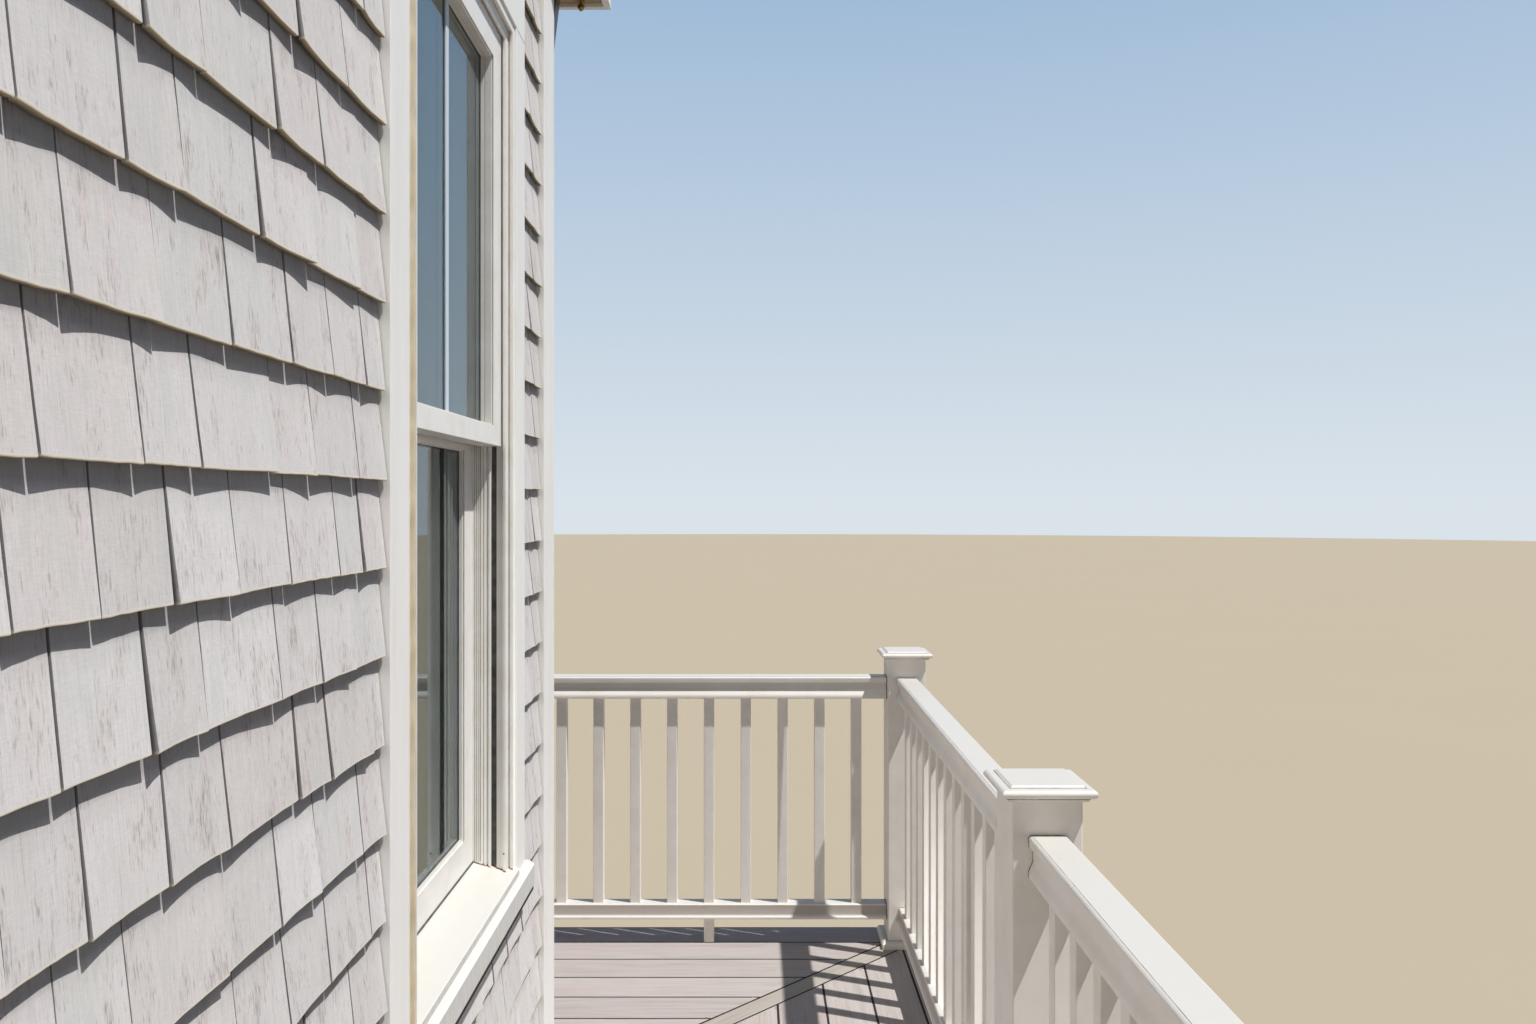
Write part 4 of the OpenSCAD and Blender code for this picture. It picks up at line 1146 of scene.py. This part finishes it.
    def fittings(self):
        """Adds the strip under the lower sash, and in each jamb a screw, a brush that also stands
        for painted shade, and lines of painted shade
        """
        a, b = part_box("lower_sash")
        frame_low, frame_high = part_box("window_frame")
        jambs = ((frame_high.y, -1), (frame_low.y, 1))
        bars("sash_weatherstrip", [((b.x - 6 * MM, a.y + 1 * MM, a.z - 1 * MM),
                                    (b.x + 1.6 * MM, b.y - 1 * MM, a.z + 3.4 * MM))],
             glazing_rubber, 21)
        screws = bmesh.new()
        for y, into in ((b.y, -1), (a.y, 1)):
            turned(screws, Vector((CORNER.x - 17.6 * MM, y, DECK_TOP + 0.774)), Y * into,
                   [(-0.5 * MM, 2.0 * MM), (0.5 * MM, 2.0 * MM), (1.0 * MM, 1.4 * MM)])
        piece("track_screws", screws, [coated_steel_screw], seed=22)
        # A dark brush closes the slot of each sash balance, 34 to 46 mm behind the casing; its
        # darkness also stands for the shade deep in the slot, as painted shade
        bars("balance_brushes_and_shade", [
            ((CORNER.x - 45.8 * MM, y + into * 32.5 * MM, frame_low.z + 32 * MM),
             (CORNER.x - 34.2 * MM, y + into * 32.5 * MM + into * 2 * MM, frame_high.z - 60 * MM))
            for y, into in jambs], glazing_rubber, 23)
        # Four fine grey lines of painted shade mark the grooves of the jamb liner, 45 mm in from
        # the frame's edge
        bars("liner_lines", [
            ((CORNER.x - (back + 1.2) * MM, y + into * 45 * MM, a.z + 2 * MM),
             (CORNER.x - back * MM, y + into * 45 * MM + into * 0.2 * MM, b.z - 2 * MM))
            for y, into in jambs for back in (65.5, 69.0, 73.5, 77.5)],
            groove_shade_grey, 26)


# Directions along the deck's mitre and square to it
MITRE, ACROSS = Vector((1, 1, 0)).normalized(), Vector((-1, 1, 0)).normalized()


class BAY_OT_deck_boards(bpy.types.Operator):
    """Lays the composite deck boards and the strip along the mitre"""

    bl_idname = "bay.deck_boards"
    bl_label = "Deck boards"

    def execute(self, context):
        s = context.scene.bay_deck
        for node, name, finish, seed in (
                ("side_deck_boards", "side_deck_planks", embossed_wood_composite, 31),
                ("sea_deck_boards", "sea_deck_planks", embossed_wood_composite, 32),
                ("mitre_board", "mitre_strip", sanded_wood_composite, 33)):
            copy_of(node, name, s.ease, finish, seed)
        # Screws stand in two lines, 50 mm to each side of the mitre, into the doubled joist
        pairs, first, pitch, aside = 8, 0.184, 0.194, 0.050
        screws = bmesh.new()
        rng = random.Random(34)
        for i in range(pairs):
            for side in (-1, 1):
                place = at(0, 0, -0.4 * MM) + MITRE * (first + pitch * i + rng.uniform(-6, 6) * MM)
                place += ACROSS * side * (aside + rng.uniform(-2, 2) * MM)
                turned(screws, place, Z, [(0, s.screw / 2), (0.5 * MM, s.screw / 2),
                                          (0.8 * MM, 0.4 * s.screw)])
        piece("deck_screws", screws, [coated_steel_screw], seed=35)
        self.gap_shade_and_dirt()
        return {"FINISHED"}

    def gap_shade_and_dirt(self):
        """Adds dark strips deep in the gaps between boards and beside the mitre strip: painted
        shade, with some dirt
        """
        bm = bmesh.new()
        # It reaches a little way up the boards' rounded edges
        spread = 1.2 * MM
        z0, z1 = DECK_TOP - 9 * MM, DECK_TOP - 0.7 * MM
        for node, axis in (("side_deck_boards", 0), ("sea_deck_boards", 1)):
            boards = mesh_of(node)
            rows = []
            for group in islands(boards):
                lowest, highest = extent(group)
                edges = lowest[axis], highest[axis]
                sides = [[v.co[1 - axis] for v in group if abs(v.co[axis] - edge) < 1 * MM]
                         for edge in edges]
                rows.append((*edges, *(pick(side) for side in sides for pick in (min, max))))
            boards.free()
            rows.sort()
            for near, far in zip(rows, rows[1:]):
                across = near[1] - spread, far[0] + spread
                run = max(near[4], far[2]), min(near[5], far[3])
                (x0, x1), (y0, y1) = (across, run) if axis == 0 else (run, across)
                block(bm, (x0, y0, z0), (x1, y1, z1))
        a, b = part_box("mitre_board")
        strip = mesh_of("mitre_board")
        half = max((v.co - a).dot(ACROSS) for v in strip.verts)
        strip.free()
        reach = (b.x - a.x) * math.sqrt(2)
        # On each side of the strip: where its dark strip of painted shade starts across the mitre,
        # and how wide it is
        for edge, width in ((-half - 5.1 * MM, 5.7 * MM), (half - 2.2 * MM, 8.9 * MM)):
            foot = Vector((a.x, a.y, 0)) + MITRE * 60 * MM + ACROSS * edge
            far = foot + ACROSS * width
            prism(bm, [foot + Z * z0, far + Z * z0, far + Z * z1, foot + Z * z1],
                  MITRE * (reach - 130 * MM))
        piece("gap_shade_and_dirt", bm, [dark_shade_and_dirt], seed=36)


def shorten(bm, axis, gap):
    """Draws in both ends of each panel along an axis so that it stops short of its posts"""
    reach = 0.1 * MM
    for group in islands(bm):
        lowest, highest = extent(group)
        for vert in group:
            if vert.co[axis] < lowest[axis] + reach:
                vert.co[axis] += gap
            elif vert.co[axis] > highest[axis] - reach:
                vert.co[axis] -= gap
    return bm


class BAY_OT_railing(bpy.types.Operator):
    """Makes the railing: posts, caps, skirts, rails, balusters and foot blocks"""

    bl_idname = "bay.railing"
    bl_label = "Railing"

    def execute(self, context):
        s = context.scene.bay_rail
        for node, name, share, seed in (
                ("rail_posts", "railing_posts", 1.4, 41), ("post_caps", "railing_caps", 0.5, 42),
                ("post_skirts", "railing_skirts", 0.5, 43),
                ("rail_foot_blocks", "railing_foot_blocks", 1.0, 44)):
            copy_of(node, name, share * s.ease, extruded_rail_vinyl, seed)
        for node, name, axis, seed in (("side_railing", "side_panels", 1, 45),
                                       ("sea_railing", "sea_panels", 0, 46)):
            panel = ease(shorten(mesh_of(node), axis, s.end_gap), 0.8 * s.ease)
            soiled = panel.verts.layers.float.new("soiled")
            # Painted shade: the bottom rail's body is darkened all over, and the far top rail's
            # stem a little, under its nose
            for vert in panel.verts:
                height = vert.co.z - DECK_TOP
                if 100.5 * MM < height < 130.5 * MM:
                    vert[soiled] = 1.0
                elif axis == 0 and 870.5 * MM < height < 893.5 * MM:
                    vert[soiled] = 0.35
            piece(name, panel, [extruded_rail_vinyl], [node], seed)
        self.cap_lines()
        self.rail_lines(s)
        return {"FINISHED"}

    def cap_lines(self):
        """Adds a grey line of painted shade round each cap's raised panel, and a dark ring under
        the edge of its slab that is partly dust and partly painted shade
        """
        caps = mesh_of("post_caps")
        shade_lines, rims = [], []
        for group in islands(caps):
            lowest, highest = extent(group)
            middle = (lowest + highest) / 2
            # The panel stands 5 mm over the slab, 18 mm in from its edge, and the lip is 6 mm deep
            half = (highest.x - lowest.x) / 2 - 18 * MM
            shade_lines += square_ring(middle, half, 2.2 * MM, highest.z - 5.4 * MM,
                                   highest.z - 4.6 * MM)
            rims += square_ring(middle, 73 * MM, 1.2 * MM, lowest.z + 4.2 * MM, lowest.z + 6.2 * MM)
        caps.free()
        bars("cap_shade_lines", shade_lines, groove_shade_grey, 47)
        bars("cap_rim_shade_and_dirt", rims, packed_dust, 48)

    def rail_lines(self, s):
        """Adds a grey line of painted shade along each top rail's house side, and a dark filling
        between its ends and the posts that is partly dirt and partly painted shade"""
        shade_lines, ends = [], bmesh.new()
        for node, axis in (("side_railing", 1), ("sea_railing", 0)):
            panels = mesh_of(node)
            along = Vector((0, 0, 0))
            along[axis] = 1
            for group in islands(panels):
                lowest, highest = extent(group)
                start, end = lowest.copy(), highest.copy()
                start[axis] += s.end_gap
                end[axis] -= s.end_gap
                start[1 - axis] += 6.2 * MM
                end[1 - axis] = start[1 - axis] + 1.2 * MM
                start.z, end.z = highest.z - 1 * MM, highest.z + 0.15 * MM
                shade_lines.append((start, end))
                for first, facing in ((lowest[axis], -1), (highest[axis], 1)):
                    end_slice = cut(mesh_of(node), along * (first - facing * 1.5 * MM),
                                    along * facing)
                    join(ends, cut(end_slice, along * (first + facing * 1 * MM), along * -facing))
            panels.free()
        bars("rail_shade_lines", shade_lines, groove_shade_grey, 49)
        piece("rail_end_shade_and_dirt", ends, [packed_dust], seed=50)


class BAY_OT_deck_frame(bpy.types.Operator):
    """Makes the deck's treated lumber frame and its footings"""

    bl_idname = "bay.deck_frame"
    bl_label = "Deck frame"

    def execute(self, context):
        for node, name, seed in (
                ("deck_ledgers", "ledger_boards", 51), ("deck_rims", "rim_joists", 52),
                ("deck_joists", "joists", 53), ("deck_beams", "beams", 54),
                ("deck_posts", "support_posts", 55)):
            copy_of(node, name, 3 * MM, pressure_treated_pine, seed)
        copy_of("deck_footings", "footings", 5 * MM, cast_concrete, 56)
        return {"FINISHED"}


class BAY_OT_roof(bpy.types.Operator):
    """Makes the roof: rafters, boards, asphalt tabs, soffits, gutter, drip strip, knob and spout"""

    bl_idname = "bay.roof"
    bl_label = "Roof"

    def execute(self, context):
        for node, name, width, finish, slot, seed in (
                ("rafters", "roof_rafters", 2, sawn_framing_spruce, "framing_lumber", 61),
                ("roof_boards", "roof_planks", 2, sawn_framing_spruce, "roof_lumber", 62),
                ("eave_soffit", "soffit_panel", 1, painted_soffit_board, "soffit_paint", 63),
                ("rake_soffit", "rake_soffit_panel", 1, painted_soffit_board, "soffit_paint", 63),
                ("eave_gutter", "gutter_trough", 0.5, mill_aluminium_sheet, "gutter_metal", 64)):
            copy_of(node, name, width * MM, finish, seed)
        copy_of("downspout", "spout_pipe", 4 * MM, baked_enamel_aluminium, 65, 3)
        a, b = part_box("eave_gutter")
        # Straps 22 mm wide tie the gutter's two edges together
        straps, half = 6, 11 * MM
        places = [a.x + (b.x - a.x) * (i + 0.5) / straps for i in range(straps)]
        bars("gutter_hangers", [((x - half, a.y + 2 * MM, b.z - 12 * MM),
                                 (x + half, b.y - 2 * MM, b.z - 10 * MM)) for x in places],
             hot_dipped_steel, 69)
        # A bent strip hangs from the roof boards into the gutter and closes the rafter bays
        lowest, back = low("roof_boards").z, high("roof_boards").y
        x0, x1 = a.x + 3 * MM, b.x - 3 * MM
        strip = bmesh.new()
        block(strip, (x0, back + 3.1 * MM, b.z - 25 * MM), (x1, back + 3.6 * MM, b.z))
        prism(strip, [(x0, back + 3.6 * MM, b.z), (x0, back + 3.6 * MM, lowest + 14 * MM),
                      (x0, back + 0.3 * MM, lowest + 16 * MM), (x0, back + 0.3 * MM, b.z)],
              X * (x1 - x0))
        piece("drip_edge", strip, [mill_aluminium_sheet], seed=70)
        self.knob()
        self.tabs(context.scene.bay_roof)
        return {"FINISHED"}

    def slope(self):
        """Fall of the roof in metres per metre, read from the longest edge of the packed boards"""
        bm = mesh_of("roof_boards")
        runs = [e.verts[1].co - e.verts[0].co for e in bm.edges]
        run = max((r for r in runs if abs(r.x) < 1 * MM), key=lambda r: r.length)
        bm.free()
        return abs(run.z / run.y)

    def knob(self):
        """Adds the turned brass knob under the soffit at the corner"""
        bm = bmesh.new()
        foot = at(0.036, 0.215, 0)
        foot.z = low("eave_soffit").z + 0.5 * MM
        # Heights below the soffit and radii, in millimetres
        profile = [(0, 11), (3, 11), (4.5, 8.5), (6, 4.5), (9, 4), (11, 6), (14, 8.5), (18.5, 9.5),
                   (23, 8.2), (26.5, 5), (28.5, 2)]
        turned(bm, foot, -Z, [(height * MM, radius * MM) for height, radius in profile], 24)
        piece("soffit_knob", bm, [aged_brass], seed=68, smooth=35)

    def tabs(self, s):
        """Lays the roof covering tab by tab, from the gutter up to the rear"""
        a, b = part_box("roof_boards")
        cover_low, cover_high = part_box("roof_shingles")
        pitch = self.slope()
        rng = random.Random(66)
        bm = bmesh.new()
        run = s.course / math.hypot(1, pitch)
        row = 0
        while cover_high.y - row * run > cover_low.y + 20 * MM:
            butt_y = cover_high.y - row * run
            upper = max(butt_y - 1.02 * run, cover_low.y)
            x = cover_low.x - (row % 2) * s.tab_w / 2
            while x < cover_high.x - 10 * MM:
                x0 = max(x, cover_low.x) + 1.5 * MM
                x1 = min(x + s.tab_w, cover_high.x) - 1.5 * MM
                if x1 - x0 > 15 * MM:
                    lower = butt_y - rng.uniform(0, 3) * MM
                    z0, z1 = b.z - pitch * (lower - a.y), b.z - pitch * (upper - a.y)
                    lift = rng.uniform(5.8, 9.6) * MM
                    prism(bm, [(x0, lower, z0), (x0, upper, z1), (x0, upper, z1 + 4.4 * MM),
                               (x0, lower, z0 + lift)], Vector((x1, 0, 0)) - Vector((x0, 0, 0)))
                x += s.tab_w
            row += 1
        piece("roof_tabs", bm, [mineral_asphalt_shingle], ["roof_shingles"],
              seed=67)


class BAY_OT_house_shell(bpy.types.Operator):
    """Finishes the walls, floor, floor frame and foundation"""

    bl_idname = "bay.house_shell"
    bl_label = "House shell"

    def execute(self, context):
        s = context.scene.bay_house
        for node in ("window_wall", "sea_wall", "party_wall_rear", "party_wall_side"):
            dress(node, rolled_plaster_paint)
        copy_of("foundation", "foundation_wall", 4 * MM, cast_concrete, 71)
        copy_of("floor_frame", "floor_joists", 2 * MM, sawn_framing_spruce, 72)
        a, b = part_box("floor_boards")
        shortest, longest, stub = 0.7, 1.9, 0.3
        rng = random.Random(73)
        bm = bmesh.new()
        y = a.y
        while y < b.y - 1 * MM:
            y1 = min(y + s.plank_w, b.y)
            x = a.x
            while x < b.x - 1 * MM:
                x1 = min(x + rng.uniform(shortest, longest), b.x)
                if b.x - x1 < stub:
                    x1 = b.x
                block(bm, (x, y, a.z), (x1, y1, b.z))
                x = x1
            y = y1
        piece("floor_planks", ease(bm, 0.7 * MM, 1), [varnished_oak_plank],
              ["floor_boards"], seed=74)
        return {"FINISHED"}


class BAY_OT_stage(bpy.types.Operator):
    """Sets the pale floor, the background, the soft studio light and the camera"""

    bl_idname = "bay.stage"
    bl_label = "Stage"

    def execute(self, context):
        s = context.scene.bay_stage
        scene = context.scene
        scene.view_settings.view_transform = "Standard"
        bm = bmesh.new()
        bmesh.ops.create_circle(bm, cap_ends=True, radius=90.0, segments=96)
        mesh = bpy.data.meshes.new("studio_floor")
        bm.to_mesh(mesh)
        bm.free()
        floor = bpy.data.objects.new("studio_floor", mesh)
        scene.collection.objects.link(floor)
        mesh.materials.append(finish_of(pale_studio_floor))
        floor.location.z = -1 * MM
        self.surround(scene, s)

        lamp = bpy.data.lights.new("key_lamp", "SUN")
        lamp.energy = s.key
        lamp.angle = math.radians(0.8)
        lamp.color = (1.0, 0.98, 0.95)
        key = bpy.data.objects.new("key_lamp", lamp)
        scene.collection.objects.link(key)
        toward_lamp = Vector((1.0, -0.40, 2.3))
        key.rotation_euler = toward_lamp.to_track_quat("Z", "Y").to_euler()

        # A level view along the wall, with a shifted lens
        lens = bpy.data.cameras.new("studio_camera")
        lens.sensor_width = 36.0
        lens.lens = 26.72
        lens.shift_x, lens.shift_y = 0.01172, -0.00586
        lens.clip_start, lens.clip_end = 0.02, 300.0
        camera = bpy.data.objects.new("studio_camera", lens)
        scene.collection.objects.link(camera)
        camera.location = at(0.498, -2.900, 1.508)
        camera.rotation_euler = (math.radians(90), 0, 0)
        scene.camera = camera
        return {"FINISHED"}

    def surround(self, scene, s):
        """Sets the light from all round, and the pale backdrop that the eye sees in its place"""
        scene.world = bpy.data.worlds.new("studio_world")
        scene.world.use_nodes = True
        tree = scene.world.node_tree
        tree.nodes.clear()
        toward = add(tree, "TexCoord").outputs["Generated"]
        rise = add(tree, "SeparateXYZ", {"Vector": toward})
        # The light is cool from above and the open side, and warm from low down behind
        open_side = add(tree, "VectorMath", {"operation": "DOT_PRODUCT", 0: toward,
                                             1: (0.55, 0.35, 0.75)}).outputs["Value"]
        above = add(tree, "MapRange", {"From Min": -0.1, "From Max": 0.42, "Value": open_side})
        cast = add(tree, "Mix", {**BLEND, FACTOR: above, FIRST: "#FFEEDC", SECOND: "#A3C1F5"})
        around = add(tree, "MapRange", {"From Min": -0.4, "From Max": 0.4, "To Min": 1.8 * s.fill,
                                        "To Max": s.fill, "Value": open_side})
        fill = add(tree, "Background", {"Color": cast, "Strength": around})
        # The backdrop deepens softly from eye level to 35 degrees up
        height = add(tree, "MapRange", {"From Max": 0.57, "Value": rise.outputs["Z"]})
        tint = add(tree, "Mix", {**BLEND, FACTOR: height, FIRST: s.backdrop, SECOND: s.upper})
        pale = add(tree, "Background", {"Strength": 1.0, "Color": tint})
        mixed = add(tree, "MixShader", {0: sight_ray(tree), 1: fill, 2: pale})
        add(tree, "OutputWorld", {"Surface": mixed})


OPERATORS = [BAY_OT_house_shell, BAY_OT_roof, BAY_OT_wall_shingles, BAY_OT_trim_boards,
             BAY_OT_window, BAY_OT_deck_frame, BAY_OT_deck_boards, BAY_OT_railing, BAY_OT_stage]


class BAY_PT_sidebar(bpy.types.Panel):
    """Lists the settings and the steps that build the corner bay"""

    bl_idname = "BAY_PT_sidebar"
    bl_label = "Corner Bay"
    bl_space_type = "VIEW_3D"
    bl_region_type = "UI"
    bl_category = "Beach House"

    def draw(self, context):
        for step in OPERATORS:
            self.layout.operator(step.bl_idname)
        for attribute, group in SETTINGS.items():
            box = self.layout.box()
            box.label(text=group.__doc__)
            for field in group.__annotations__:
                box.prop(getattr(context.scene, attribute), field)


def register():
    for attribute, group in SETTINGS.items():
        bpy.utils.register_class(group)
        setattr(bpy.types.Scene, attribute, PointerProperty(type=group))
    for step in OPERATORS + [BAY_PT_sidebar]:
        bpy.utils.register_class(step)


def unregister():
    for step in reversed(OPERATORS + [BAY_PT_sidebar]):
        bpy.utils.unregister_class(step)
    for attribute, group in SETTINGS.items():
        delattr(bpy.types.Scene, attribute)
        bpy.utils.unregister_class(group)


def main():
    register()
    for step in OPERATORS:
        group, action = step.bl_idname.split(".")
        getattr(getattr(bpy.ops, group), action)()


if __name__ == "__main__":
    main()
